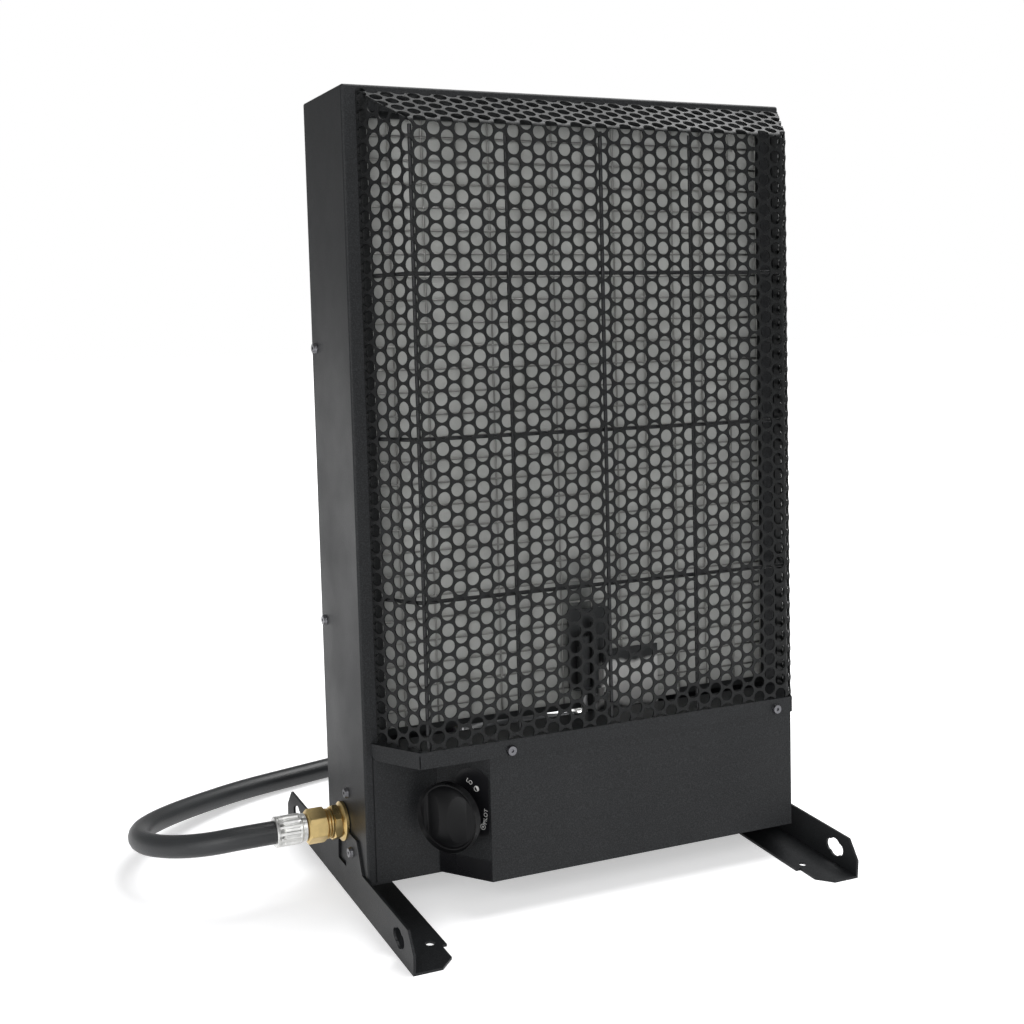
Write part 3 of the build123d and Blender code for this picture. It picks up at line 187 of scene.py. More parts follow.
class FittingSettings(bpy.types.PropertyGroup):
    flange_face: bpy.props.FloatProperty(
        name="Flange seat", description="Distance from the middle plane to the leg's outer face",
        default=0.14285, unit="LENGTH")
    flange_radius: bpy.props.FloatProperty(
        name="Flange radius", description="Radius of the inlet's flange", default=0.0121, unit="LENGTH")
    neck_radius: bpy.props.FloatProperty(
        name="Neck radius", description="Radius of the inlet's neck", default=0.0070, unit="LENGTH")
    hexagon_corner: bpy.props.FloatProperty(
        name="Hexagon corner", description="Radius to the corners of the inlet's hexagon",
        default=0.0113, unit="LENGTH")
    hexagon_length: bpy.props.FloatProperty(
        name="Hexagon length", description="Length of the inlet's hexagon",
        default=0.0050, unit="LENGTH")
    thread_radius: bpy.props.FloatProperty(
        name="Thread radius", description="Radius of the flare thread", default=0.0080, unit="LENGTH")
    nut_corner: bpy.props.FloatProperty(
        name="Nut corner", description="Radius to the corners of the swivel nut",
        default=0.0110, unit="LENGTH")
    nut_chamfer: bpy.props.FloatProperty(
        name="Nut chamfer", description="How far the nut's corners are turned down",
        default=0.0020, unit="LENGTH")
    nut_wall: bpy.props.FloatProperty(
        name="Nut wall", description="Thickness of the wall behind the nut's thread",
        default=0.0021, unit="LENGTH")
    bead_radius: bpy.props.FloatProperty(
        name="Bead radius", description="Radius of the two beads round the nut's mouth",
        default=0.0092, unit="LENGTH")
    bead_height: bpy.props.FloatProperty(
        name="Bead height", description="How far the beads stand out", default=0.0009, unit="LENGTH")
    bead_pitch: bpy.props.FloatProperty(
        name="Bead pitch", description="Distance between the two beads", default=0.0018, unit="LENGTH")
    near_turn: bpy.props.FloatProperty(
        name="Near nut's turn", description="How the hose's nut at the heater is turned on its axis",
        default=math.radians(42.7), subtype="ANGLE")
    ferrule_radius: bpy.props.FloatProperty(
        name="Ferrule radius", description="Outside radius of the crimped ferrule",
        default=0.0093, unit="LENGTH")
    flutes: bpy.props.IntProperty(
        name="Flutes", description="Number of flutes pressed into the ferrule", default=14, min=6)
    flute_depth: bpy.props.FloatProperty(
        name="Flute depth", description="Depth of the ferrule's flutes", default=0.0007, unit="LENGTH")


class GuardSettings(bpy.types.PropertyGroup):
    hole_radius: bpy.props.FloatProperty(
        name="Hole radius", description="Radius of the guard's round holes",
        default=0.00397, unit="LENGTH")
    hole_pitch: bpy.props.FloatProperty(
        name="Hole pitch", description="Distance between neighbouring holes",
        default=0.009525, unit="LENGTH")
    sheet: bpy.props.FloatProperty(
        name="Sheet", description="Thickness of the guard's sheet", default=0.001, unit="LENGTH")
    rim: bpy.props.FloatProperty(
        name="Rim", description="Width of the rim folded in behind the flaps",
        default=0.0058, unit="LENGTH")
    bend_reach: bpy.props.FloatProperty(
        name="Bend reach", description="Half the width of sheet that each bend takes",
        default=0.0012, unit="LENGTH")


class PadSettings(bpy.types.PropertyGroup):
    wire_pitch_x: bpy.props.FloatProperty(
        name="Upright pitch", description="Distance between the screen's upright wires",
        default=0.0215, unit="LENGTH")
    wire_pitch_z: bpy.props.FloatProperty(
        name="Cross pitch", description="Distance between the screen's cross wires",
        default=0.0137, unit="LENGTH")
    wire_radius: bpy.props.FloatProperty(
        name="Wire radius", description="Radius of the screen's wires", default=0.0006, unit="LENGTH")
    wire_wave: bpy.props.FloatProperty(
        name="Wire wave", description="How far a wire rises and dips at each crossing",
        default=0.00035, unit="LENGTH")
    # The wires' colour is kept dark partly for heat dulling and partly as painted shade, standing for
    # the shadows that the wires cast on the pad beside them.
    wire_colour_with_painted_shade: bpy.props.FloatVectorProperty(
        name="Wire colour", description="Colour of the screen's wires, dulled by heat",
        default=(0.27, 0.27, 0.26), subtype="COLOR", size=3, min=0, max=1)
    groove: bpy.props.FloatProperty(
        name="Groove", description="How deep the wires press into the pad",
        default=0.0009, unit="LENGTH")
    colour: bpy.props.FloatVectorProperty(
        name="Pad colour", description="Colour of the catalyst pad's fibre",
        default=(0.55, 0.56, 0.54), subtype="COLOR", size=3, min=0, max=1)


class KnobSettings(bpy.types.PropertyGroup):
    radius: bpy.props.FloatProperty(
        name="Knob radius", description="Radius of the knob's skirt", default=0.0207, unit="LENGTH")
    back: bpy.props.FloatProperty(
        name="Knob back", description="Distance from the panel to the back of the knob",
        default=0.0140, unit="LENGTH")
    rim_height: bpy.props.FloatProperty(
        name="Rim height", description="Distance from the panel to the top of the rim",
        default=0.0190, unit="LENGTH")
    height: bpy.props.FloatProperty(
        name="Ridge height", description="Distance from the panel to the top of the finger ridge",
        default=0.0226, unit="LENGTH")
    lip_width: bpy.props.FloatProperty(
        name="Lip width", description="Width of the lip round the sunk face",
        default=0.0013, unit="LENGTH")
    dish: bpy.props.FloatProperty(
        name="Dish", description="Depth of the sunk face below the lip", default=0.0018, unit="LENGTH")
    ridge_width: bpy.props.FloatProperty(
        name="Ridge width", description="Width of the finger ridge at its top",
        default=0.0055, unit="LENGTH")
    scoop_radius: bpy.props.FloatProperty(
        name="Scoop radius", description="Radius of the hollow on each side of the ridge",
        default=0.026, unit="LENGTH")
    hub_radius: bpy.props.FloatProperty(
        name="Hub radius", description="Radius of the hub behind the knob",
        default=0.008, unit="LENGTH")
    hub_back: bpy.props.FloatProperty(
        name="Hub back", description="Distance from the panel to the back of the hub",
        default=0.0046, unit="LENGTH")
    edge: bpy.props.FloatProperty(
        name="Edge rounding", description="Radius of the moulded edges", default=0.0007, unit="LENGTH")


class DialSettings(bpy.types.PropertyGroup):
    letter_height: bpy.props.FloatProperty(
        name="Letter height", description="Height of the dial's letters", default=0.0026, unit="LENGTH")
    icon_radius: bpy.props.FloatProperty(
        name="Icon radius", description="Radius of the round icons beside the words",
        default=0.0016, unit="LENGTH")
    mark_height: bpy.props.FloatProperty(
        name="Mark height", description="Thickness of the printed marks",
        default=0.00006, unit="LENGTH")
    colour: bpy.props.FloatVectorProperty(
        name="Mark colour", description="Colour of the printed marks",
        default=(0.78, 0.78, 0.76), subtype="COLOR", size=3, min=0, max=1)


class FinishSettings(bpy.types.PropertyGroup):
    powder_black: bpy.props.FloatVectorProperty(
        name="Powder coat", description="Colour of the case's powder coat",
        default=(0.0074, 0.0080, 0.0088), subtype="COLOR", size=3, min=0, max=1)
    guard_black: bpy.props.FloatVectorProperty(
        name="Guard coat", description="Colour of the guard's powder coat",
        default=(0.0040, 0.0044, 0.0046), subtype="COLOR", size=3, min=0, max=1)
    wire_black: bpy.props.FloatVectorProperty(
        name="Black wire", description="Colour of the black wires",
        default=(0.010, 0.0105, 0.011), subtype="COLOR", size=3, min=0, max=1)
    sheet_zinc: bpy.props.FloatVectorProperty(
        name="Bare sheet", description="Colour of the bare coated sheet steel",
        default=(0.60, 0.60, 0.59), subtype="COLOR", size=3, min=0, max=1)
    steel: bpy.props.FloatVectorProperty(
        name="Steel", description="Colour of plain steel",
        default=(0.52, 0.52, 0.51), subtype="COLOR", size=3, min=0, max=1)
    brass: bpy.props.FloatVectorProperty(
        name="Brass", description="Colour of machined brass",
        default=(0.80, 0.60, 0.27), subtype="COLOR", size=3, min=0, max=1)
    plastic_black: bpy.props.FloatVectorProperty(
        name="Knob plastic", description="Colour of the knob's plastic",
        default=(0.0035, 0.0036, 0.0040), subtype="COLOR", size=3, min=0, max=1)
    insulation: bpy.props.FloatVectorProperty(
        name="Insulation", description="Colour of the white fibre behind the pad",
        default=(0.74, 0.73, 0.69), subtype="COLOR", size=3, min=0, max=1)
    screw_black: bpy.props.FloatVectorProperty(
        name="Screws", description="Colour of the blackened screws",
        default=(0.16, 0.16, 0.17), subtype="COLOR", size=3, min=0, max=1)
    label_black: bpy.props.FloatVectorProperty(
        name="Label", description="Colour of the dial's label film",
        default=(0.006, 0.006, 0.007), subtype="COLOR", size=3, min=0, max=1)
    cast_metal: bpy.props.FloatVectorProperty(
        name="Cast metal", description="Colour of the valve's cast body",
        default=(0.55, 0.55, 0.56), subtype="COLOR", size=3, min=0, max=1)
    tube_metal: bpy.props.FloatVectorProperty(
        name="Gas tube", description="Colour of the soft metal tubes",
        default=(0.64, 0.64, 0.65), subtype="COLOR", size=3, min=0, max=1)
    ceramic: bpy.props.FloatVectorProperty(
        name="Ceramic", description="Colour of the igniter's white ceramic",
        default=(0.78, 0.76, 0.70), subtype="COLOR", size=3, min=0, max=1)
    lead_black: bpy.props.FloatVectorProperty(
        name="Leads", description="Colour of the leads' plastic sleeves",
        default=(0.03, 0.03, 0.03), subtype="COLOR", size=3, min=0, max=1)
    sleeve_zinc: bpy.props.FloatVectorProperty(
        name="Ferrules", description="Colour of the zinc plated ferrules",
        default=(0.88, 0.88, 0.86), subtype="COLOR", size=3, min=0, max=1)
    crimp_zinc: bpy.props.FloatVectorProperty(
        name="Plain ferrules", description="Colour of the plain ferrules of the CAD",
        default=(0.80, 0.80, 0.78), subtype="COLOR", size=3, min=0, max=1)
    soot: bpy.props.FloatVectorProperty(
        name="Soot", description="Colour of the soot on the pilot's metal",
        default=(0.030, 0.032, 0.033), subtype="COLOR", size=3, min=0, max=1)


SETTINGS = {
    "heater_stage": StageSettings,
    "heater_hose": HoseSettings,
    "heater_fitting": FittingSettings,
    "heater_guard": GuardSettings,
    "heater_pad": PadSettings,
    "heater_knob": KnobSettings,
    "heater_dial": DialSettings,
    "heater_finish": FinishSettings,
}


# ---------------------------------------------------------------- modelling by hand, in small steps

def deselect_all():
    """The step before each operator that works on what is selected."""
    bpy.ops.object.select_all(action="DESELECT")


def named(name):
    """Gives the object that an operator has just added its name."""
    piece = bpy.context.object
    piece.name = name
    piece.data.name = name
    return piece


def choose(*pieces):
    """Selects these objects alone, the last one active."""
    deselect_all()
    for piece in pieces:
        piece.select_set(True)
        bpy.context.view_layer.objects.active = piece


def place(piece, matrix):
    """Puts a piece where it goes, and leaves its object at the origin."""
    choose(piece)
    piece.matrix_world = matrix @ piece.matrix_world
    bpy.ops.object.transform_apply(location=True, rotation=True, scale=True)
    return piece


def edit(piece, mode="VERT"):
    """Opens a piece in edit mode with nothing selected."""
    choose(piece)
    bpy.ops.object.mode_set(mode="EDIT")
    bpy.ops.mesh.select_mode(type=mode)
    bpy.ops.mesh.select_all(action="DESELECT")


def leave_edit():
    """Goes back to object mode."""
    bpy.ops.object.mode_set(mode="OBJECT")


def select_where(piece, kind, test):
    """In edit mode, selects the vertices, edges or faces that pass the test, and only them."""
    mesh = bmesh.from_edit_mesh(piece.data)
    bpy.ops.mesh.select_all(action="DESELECT")
    for element in getattr(mesh, kind):
        if test(element):
            element.select_set(True)
    bmesh.update_edit_mesh(piece.data)


def apply_modifier(piece, kind, **values):
    """Adds a modifier, gives it its values and applies it."""
    choose(piece)
    modifier = piece.modifiers.new(kind.title(), kind)
    for name, value in values.items():
        setattr(modifier, name, value)
    bpy.ops.object.modifier_apply(modifier=modifier.name)


def repeat(piece, count, step):
    """Copies a mesh along a row with an Array modifier."""
    apply_modifier(
        piece, "ARRAY", count=count, use_relative_offset=False, use_constant_offset=True,
        constant_offset_displace=step)


def boolean(piece, tool, operation):
    """Adds a second piece to the first or cuts it away, and removes the second."""
    apply_modifier(piece, "BOOLEAN", operation=operation, object=tool, solver="EXACT")
    bpy.data.objects.remove(tool)


def add_cylinder(name, radius, low, high, vertices):
    """A closed cylinder along Z between two heights."""
    deselect_all()
    bpy.ops.mesh.primitive_cylinder_add(
        vertices=vertices, radius=radius, depth=high - low, location=(0, 0, (low + high) / 2))
    piece = named(name)
    bpy.ops.object.transform_apply(location=True, rotation=True, scale=True)
    return piece


def smooth(piece, angle):
    """Shades a piece smooth, apart from edges sharper than an angle in degrees."""
    choose(piece)
    bpy.ops.object.shade_smooth_by_angle(angle=math.radians(angle))


def join(name, *pieces):
    """Joins several objects into the first one."""
    choose(*reversed(pieces))
    bpy.ops.object.join()
    return named(name)


def dress(piece, material, body):
    """Gives a finished piece its material and the body that it rides on."""
    piece.data.materials.clear()
    piece.data.materials.append(material)
    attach(piece, body)


# ---------------------------------------------------------------- building blocks of the materials

NODE_SPACING = 190


class Nodes:
    """Adds nodes to a tree and links them, in the order in which they are named."""

    def __init__(self, tree):
        self.tree = tree
        self.column = 0

    def add(self, kind, **values):
        """One new node to the right of the last one."""
        node = self.tree.nodes.new(kind)
        node.location = (self.column * NODE_SPACING, 0)
        self.column += 1
        for name, value in values.items():
            setattr(node, name, value)
        return node

    def link(self, start, end):
        """A link from an output to an input."""
        self.tree.links.new(start, end)

    def object_place(self, size=(1, 1, 1)):
        """Object coordinates, stretched along the three axes."""
        source = self.add("ShaderNodeTexCoord")
        mapping = self.add("ShaderNodeMapping")
        mapping.inputs["Scale"].default_value = size
        self.link(source.outputs["Object"], mapping.inputs["Vector"])
        return mapping.outputs["Vector"]

    def noise(self, vector, scale, detail, roughness=0.5):
        """A noise value at a place."""
        node = self.add("ShaderNodeTexNoise")
        node.inputs["Scale"].default_value = scale
        node.inputs["Detail"].default_value = detail
        node.inputs["Roughness"].default_value = roughness
        self.link(vector, node.inputs["Vector"])
        return node.outputs["Fac"]

    def spread(self, value, from_low, from_high, to_low=0.0, to_high=1.0):
        """Maps one range of a value to another."""
        node = self.add("ShaderNodeMapRange")
        ends = {"From Min": from_low, "From Max": from_high, "To Min": to_low, "To Max": to_high}
        for name, number in ends.items():
            node.inputs[name].default_value = number
        self.link(value, node.inputs["Value"])
        return node.outputs["Result"]

    def mix_colours(self, factor, first, second, way="MIX"):
        """Mixes two colours, each a socket or three numbers, by a socket's or a number's share."""
        node = self.add("ShaderNodeMix", data_type="RGBA", blend_type=way)
        self.fill(node.inputs["Factor"], factor)
        colour_inputs = [socket for socket in node.inputs if socket.type == "RGBA"]
        for socket, colour in zip(colour_inputs, (first, second)):
            self.fill(socket, colour if isinstance(colour, bpy.types.NodeSocket) else (*colour, 1))
        return next(socket for socket in node.outputs if socket.type == "RGBA")

    def arithmetic(self, operation, first, second):
        """A Math node: each of the two is a socket or a number."""
        node = self.add("ShaderNodeMath", operation=operation)
        for socket, value in zip(node.inputs, (first, second)):
            self.fill(socket, value)
        return node.outputs["Value"]

    def fill(self, socket, value):
        """Links another socket to an input, or sets the input to a plain value."""
        if isinstance(value, bpy.types.NodeSocket):
            self.link(value, socket)
        else:
            socket.default_value = value


def new_group(name, outputs):
    """A node group with these outputs, its nodes and its output node, or the group already made."""
    if name in bpy.data.node_groups:
        return bpy.data.node_groups[name], None, None
    tree = bpy.data.node_groups.new(name, "ShaderNodeTree")
    for output in outputs:
        tree.interface.new_socket(name=output, in_out="OUTPUT", socket_type="NodeSocketFloat")
    nodes = Nodes(tree)
    return tree, nodes, nodes.add("NodeGroupOutput")


def powder_grain_group():
    """The pebbled skin and faint speckle of a powder coat."""
    tree, nodes, output = new_group("Powder grain", ("Height", "Speckle", "Patches"))
    if nodes:
        place_fine = nodes.object_place()
        pebbles = nodes.noise(place_fine, scale=900.0, detail=3.0, roughness=0.6)
        flecks = nodes.noise(place_fine, scale=1500.0, detail=1.0)
        patches = nodes.noise(place_fine, scale=9.0, detail=4.0, roughness=0.6)
        nodes.link(pebbles, output.inputs["Height"])
        nodes.link(nodes.spread(flecks, 0.42, 0.68), output.inputs["Speckle"])
        nodes.link(nodes.spread(patches, 0.35, 0.65), output.inputs["Patches"])
    return tree


def machined_metal_group():
    """Fine drawn lines, dull spots and slow changes of a bare metal surface."""
    tree, nodes, output = new_group("Bare metal", ("Lines", "Dullness"))
    if nodes:
        drawn = nodes.noise(nodes.object_place((0.12, 1.0, 1.0)), scale=1400.0, detail=2.0)
        dull = nodes.noise(nodes.object_place(), scale=60.0, detail=5.0, roughness=0.65)
        nodes.link(drawn, output.inputs["Lines"])
        nodes.link(nodes.spread(dull, 0.35, 0.7), output.inputs["Dullness"])
    return tree


def fibre_group():
    """Tangled short fibres and the uneven shade of a felted pad."""
    tree, nodes, output = new_group("Felted fibre", ("Fibres", "Shade", "Lumps"))
    if nodes:
        place_here = nodes.object_place()
        along = nodes.object_place((1.0, 1.0, 3.0))
        strands = nodes.noise(along, scale=520.0, detail=5.0, roughness=0.7)
        shade = nodes.noise(place_here, scale=22.0, detail=4.0, roughness=0.6)
        lumps = nodes.noise(place_here, scale=130.0, detail=3.0, roughness=0.55)
        nodes.link(strands, output.inputs["Fibres"])
        nodes.link(nodes.spread(shade, 0.3, 0.7), output.inputs["Shade"])
        nodes.link(lumps, output.inputs["Lumps"])
    return tree


def new_material(name):
    """A material with its Principled shader, ready for more nodes."""
    material = bpy.data.materials.new(name)
    material.use_nodes = True
    nodes = Nodes(material.node_tree)
    shader = material.node_tree.nodes["Principled BSDF"]
    return material, nodes, shader


def add_group(nodes, tree):
    """Places a node group in a material."""
    return nodes.add("ShaderNodeGroup", node_tree=tree)


def bump(nodes, shader, height, distance, strength=1.0):
    """Raises the surface by a height value, up to a distance in metres."""
    node = nodes.add("ShaderNodeBump")
    node.inputs["Distance"].default_value = distance
    node.inputs["Strength"].default_value = strength
    nodes.link(height, node.inputs["Height"])
    nodes.link(node.outputs["Normal"], shader.inputs["Normal"])


def roughen(nodes, shader, value, smoothest, roughest):
    """Lets a value between 0 and 1 set the roughness between two ends."""
    nodes.link(nodes.spread(value, 0.0, 1.0, smoothest, roughest), shader.inputs["Roughness"])


def scaled(colour, factor, lift=0.0):
    """A colour made lighter or darker."""
    return tuple(channel * factor + lift for channel in colour)


def powder_coat(name, colour, roughness=(0.42, 0.56), pebble=0.00010, shine=0.24):
    """Textured powder coat: a dark colour with lighter flecks over a pebbled skin."""
    material, nodes, shader = new_material(name)
    grain = add_group(nodes, powder_grain_group())
    flecks = scaled(colour, 2.2, lift=0.004)
    colours = nodes.mix_colours(grain.outputs["Speckle"], colour, flecks)
    nodes.link(colours, shader.inputs["Base Color"])
    roughen(nodes, shader, grain.outputs["Patches"], *roughness)
    shader.inputs["Specular IOR Level"].default_value = shine
    bump(nodes, shader, grain.outputs["Height"], pebble)
    return material


def bare_metal(name, colour, roughness, drawn=0.00001):
    """Bare metal with fine drawn lines and dull patches."""
    material, nodes, shader = new_material(name)
    shader.inputs["Metallic"].default_value = 1.0
    skin = add_group(nodes, machined_metal_group())
    colours = nodes.mix_colours(skin.outputs["Dullness"], colour, scaled(colour, 0.72))
    nodes.link(colours, shader.inputs["Base Color"])
    roughen(nodes, shader, skin.outputs["Dullness"], roughness, roughness + 0.16)
    bump(nodes, shader, skin.outputs["Lines"], drawn)
    return material


def moulded_plastic(name, colour, roughness=0.33, shine=0.35):
    """Moulded plastic: almost smooth, with faint handling marks."""
    material, nodes, shader = new_material(name)
    grain = add_group(nodes, powder_grain_group())
    handled = scaled(colour, 1.5, lift=0.002)
    colours = nodes.mix_colours(grain.outputs["Patches"], colour, handled)
    nodes.link(colours, shader.inputs["Base Color"])
    roughen(nodes, shader, grain.outputs["Patches"], roughness, roughness + 0.12)
    shader.inputs["Specular IOR Level"].default_value = shine
    bump(nodes, shader, grain.outputs["Height"], 0.00001)
    return material


def away_from_smoke_and_shade(nodes, places):
    """1 on clean fibre, falling to 0 with a ragged edge towards the middle of each darkened place, of
    soot stain and painted shade.
    """
    place_here = nodes.object_place()
    clear = None
    for centre, size in places:
        mapping = nodes.add("ShaderNodeMapping")
        mapping.inputs["Location"].default_value = [-at / length for at, length in zip(centre, size)]
        mapping.inputs["Scale"].default_value = [1 / length for length in size]
        nodes.link(place_here, mapping.inputs["Vector"])
        away = nodes.add("ShaderNodeVectorMath", operation="LENGTH")
        nodes.link(mapping.outputs["Vector"], away.inputs["Vector"])
        edge = nodes.noise(place_here, scale=40.0, detail=3.0)
        ragged = nodes.arithmetic("ADD", away.outputs["Value"], edge)
        here = nodes.spread(ragged, 0.9, 1.6)
        clear = here if clear is None else nodes.arithmetic("MULTIPLY", clear, here)
    return clear


def felted_fibre(name, colour, smoke_and_shade=()):
    """A felted ceramic-fibre pad, darkened round the given places by soot stains and painted shade."""
    material, nodes, shader = new_material(name)
    felt = add_group(nodes, fibre_group())
    colours = nodes.mix_colours(felt.outputs["Shade"], scaled(colour, 0.78), colour)
    if smoke_and_shade:
        # One dark tint serves both the soot stain and the painted shade.
        soot_and_shade_tint, clean = (0.16, 0.17, 0.17), (1.0, 1.0, 1.0)
        shade = nodes.mix_colours(away_from_smoke_and_shade(nodes, smoke_and_shade), soot_and_shade_tint, clean)
        colours = nodes.mix_colours(1.0, colours, shade, way="MULTIPLY")
    nodes.link(colours, shader.inputs["Base Color"])
    shader.inputs["Roughness"].default_value = 0.95
    shader.inputs["Specular IOR Level"].default_value = 0.1
    height = nodes.arithmetic("ADD", felt.outputs["Fibres"], felt.outputs["Lumps"])
    bump(nodes, shader, height, 0.0006)
    return material


def inside_box(nodes, box, edge, raggedness):
    """1 inside a box of (x, z) corners and 0 outside it, with a soft and ragged edge."""
    place_here = nodes.object_place()
    split = nodes.add("ShaderNodeSeparateXYZ")
    nodes.link(place_here, split.inputs["Vector"])
    ragged = nodes.arithmetic("MULTIPLY", nodes.noise(place_here, scale=60.0, detail=4.0), raggedness)
    inside = None
    for axis, low, high in zip("XZ", *box):
        for operation, start, end in (("SUBTRACT", low, low + edge), ("ADD", high, high - edge)):
            shifted = nodes.arithmetic(operation, split.outputs[axis], ragged)
            here = nodes.spread(shifted, start, end)
            inside = here if inside is None else nodes.arithmetic("MINIMUM", inside, here)
    return inside


def sooted_metal(name, soot, metal, clean_box):
    """Bare metal that soot and heat have darkened, apart from the part inside the clean box."""
    material, nodes, shader = new_material(name)
    shader.inputs["Metallic"].default_value = 0.6
    skin = add_group(nodes, machined_metal_group())
    clean = inside_box(nodes, clean_box, edge=0.003, raggedness=0.012)
    nodes.link(nodes.mix_colours(clean, soot, metal), shader.inputs["Base Color"])
    roughen(nodes, shader, skin.outputs["Dullness"], 0.40, 0.60)
    bump(nodes, shader, skin.outputs["Lines"], 0.00001)
    return material


def hose_rubber(name, colour):
    """Black rubber that keeps the fine weave of the cloth it was cured in."""
    material, nodes, shader = new_material(name)
    threads_along, threads_round = 900.0, 34.0
    source = nodes.add("ShaderNodeTexCoord")
    mapping = nodes.add("ShaderNodeMapping")
    mapping.inputs["Scale"].default_value = (threads_along, threads_round, 1.0)
    nodes.link(source.outputs["UV"], mapping.inputs["Vector"])
    weave = nodes.add("ShaderNodeTexVoronoi", voronoi_dimensions="2D")
    weave.inputs["Scale"].default_value = 1.0
    weave.inputs["Randomness"].default_value = 0.55
    nodes.link(mapping.outputs["Vector"], weave.inputs["Vector"])
    grain = add_group(nodes, powder_grain_group())
    colours = nodes.mix_colours(grain.outputs["Patches"], colour, scaled(colour, 2.0))
    nodes.link(colours, shader.inputs["Base Color"])
    roughen(nodes, shader, grain.outputs["Patches"], 0.36, 0.5)
    bump(nodes, shader, weave.outputs["Distance"], 0.00012, strength=0.7)
    return material


def printed_mark(name, colour):
    """Matt printing ink with a faint speckle of wear."""
    material, nodes, shader = new_material(name)
    grain = add_group(nodes, powder_grain_group())
    colours = nodes.mix_colours(grain.outputs["Speckle"], colour, scaled(colour, 0.8))
    nodes.link(colours, shader.inputs["Base Color"])
    shader.inputs["Roughness"].default_value = 0.6
    return material


# ---------------------------------------------------------------- stage: camera, floor and lamps

def make_camera(lens):
    """The view of the heater from its front left, a little above it."""
    data = bpy.data.cameras.new("view")
    camera = bpy.data.objects.new("view", data)
    bpy.context.scene.collection.objects.link(camera)
    turn = Matrix((Vector(CAMERA_RIGHT), -Vector(CAMERA_DOWN), -Vector(CAMERA_AHEAD))).transposed()
    camera.matrix_world = Matrix.Translation(CAMERA_PLACE) @ turn.to_4x4()
    data.lens = lens
    data.sensor_width = SENSOR_WIDTH_MM
    data.shift_x, data.shift_y = CAMERA_SHIFT
    data.clip_start = CAMERA_NEAREST
    bpy.context.scene.camera = camera


def make_lamp(name, place_at, aim, power, size):
    """A large soft lamp that shines on a point."""
    data = bpy.data.lights.new(name, "AREA")
    data.energy = power
    data.shape = "RECTANGLE"
    data.size, data.size_y = size
    lamp = bpy.data.objects.new(name, data)
    lamp.location = place_at
    lamp.rotation_euler = (Vector(aim) - Vector(place_at)).to_track_quat("-Z", "Y").to_euler()
    bpy.context.scene.collection.objects.link(lamp)


def floor_material(colour):
    """A pale floor that reads as white, and still shows a soft shadow."""
    material, nodes, shader = new_material("pale floor")
    shader.inputs["Base Color"].default_value = (*colour, 1)
    shader.inputs["Roughness"].default_value = 0.9
    shader.inputs["Specular IOR Level"].default_value = 0.0
    rays = nodes.add("ShaderNodeLightPath")
    seen = nodes.arithmetic("MAXIMUM", rays.outputs["Is Camera Ray"], rays.outputs["Is Glossy Ray"])
    seen = nodes.arithmetic("MAXIMUM", seen, rays.outputs["Is Transmission Ray"])
    length = nodes.add("ShaderNodeVectorMath", operation="LENGTH")
    nodes.link(nodes.object_place(), length.inputs["Vector"])
    (near, near_glow), (far, far_glow) = GLOW_NEAR, GLOW_FAR
    brightness = nodes.spread(length.outputs["Value"], near, far, near_glow, far_glow)
    glow = nodes.arithmetic("MULTIPLY", seen, brightness)
    shader.inputs["Emission Color"].default_value = (1, 1, 1, 1)
    nodes.link(glow, shader.inputs["Emission Strength"])
    return material


def make_world(strength):
    """White where the camera looks, straight or through glass, and an even light elsewhere."""
    world = bpy.data.worlds.new("pale room")
    world.use_nodes = True
    bpy.context.scene.world = world
    nodes = Nodes(world.node_tree)
    background = world.node_tree.nodes["Background"]
    background.inputs["Color"].default_value = (1, 1, 1, 1)
    rays = nodes.add("ShaderNodeLightPath")
    seen = nodes.arithmetic(
        "MAXIMUM", rays.outputs["Is Camera Ray"], rays.outputs["Is Transmission Ray"])
    level = nodes.spread(seen, 0.0, 1.0, strength, 1.0)
    nodes.link(level, background.inputs["Strength"])


class HEATER_OT_stage(bpy.types.Operator):
    """Sets up the camera, the pale floor, the lamps and the surroundings"""
    bl_idname = "heater.stage"
    bl_label = "Stage"

    def execute(self, context):
        settings = context.scene.heater_stage
        context.scene.view_settings.view_transform = "Standard"
        make_camera(settings.lens)
        deselect_all()
        bpy.ops.mesh.primitive_plane_add(size=FLOOR_SIZE, location=(0, 0, 0))
        floor = named("floor")
        floor.data.materials.append(floor_material(settings.floor_colour))
        for name, (place_at, aim, size) in LAMPS.items():
            make_lamp(f"{name} lamp", place_at, aim, getattr(settings, f"{name}_power"), size)
        make_world(settings.world_strength)
        return {"FINISHED"}


# ---------------------------------------------------------------- hose

def hose_route(turn_points):
    """Control points of the whole hose: the run beside the heater, one turn, and the tail over it."""
    points = list(HOSE_RUN)
    step = math.tau / turn_points
    # The smooth curve runs inside its control points, which therefore lie a little further out.
    outside_curve = 1 / (0.75 + 0.25 * math.cos(step))
    for index in range(turn_points + 1):
        share = index / turn_points
        radius = (COIL_RADIUS - COIL_STEP * share) * outside_curve
        climb = max(0.0, (share - COIL_CLIMB_START) / (1 - COIL_CLIMB_START))
        points.append((
            COIL_CENTRE[0] + radius * math.sin(index * step),
            COIL_CENTRE[1] + radius * math.cos(index * step),
            HOSE_RUN[-1][2] + COIL_RISE * climb ** 2,
        ))
    return points + HOSE_TAIL


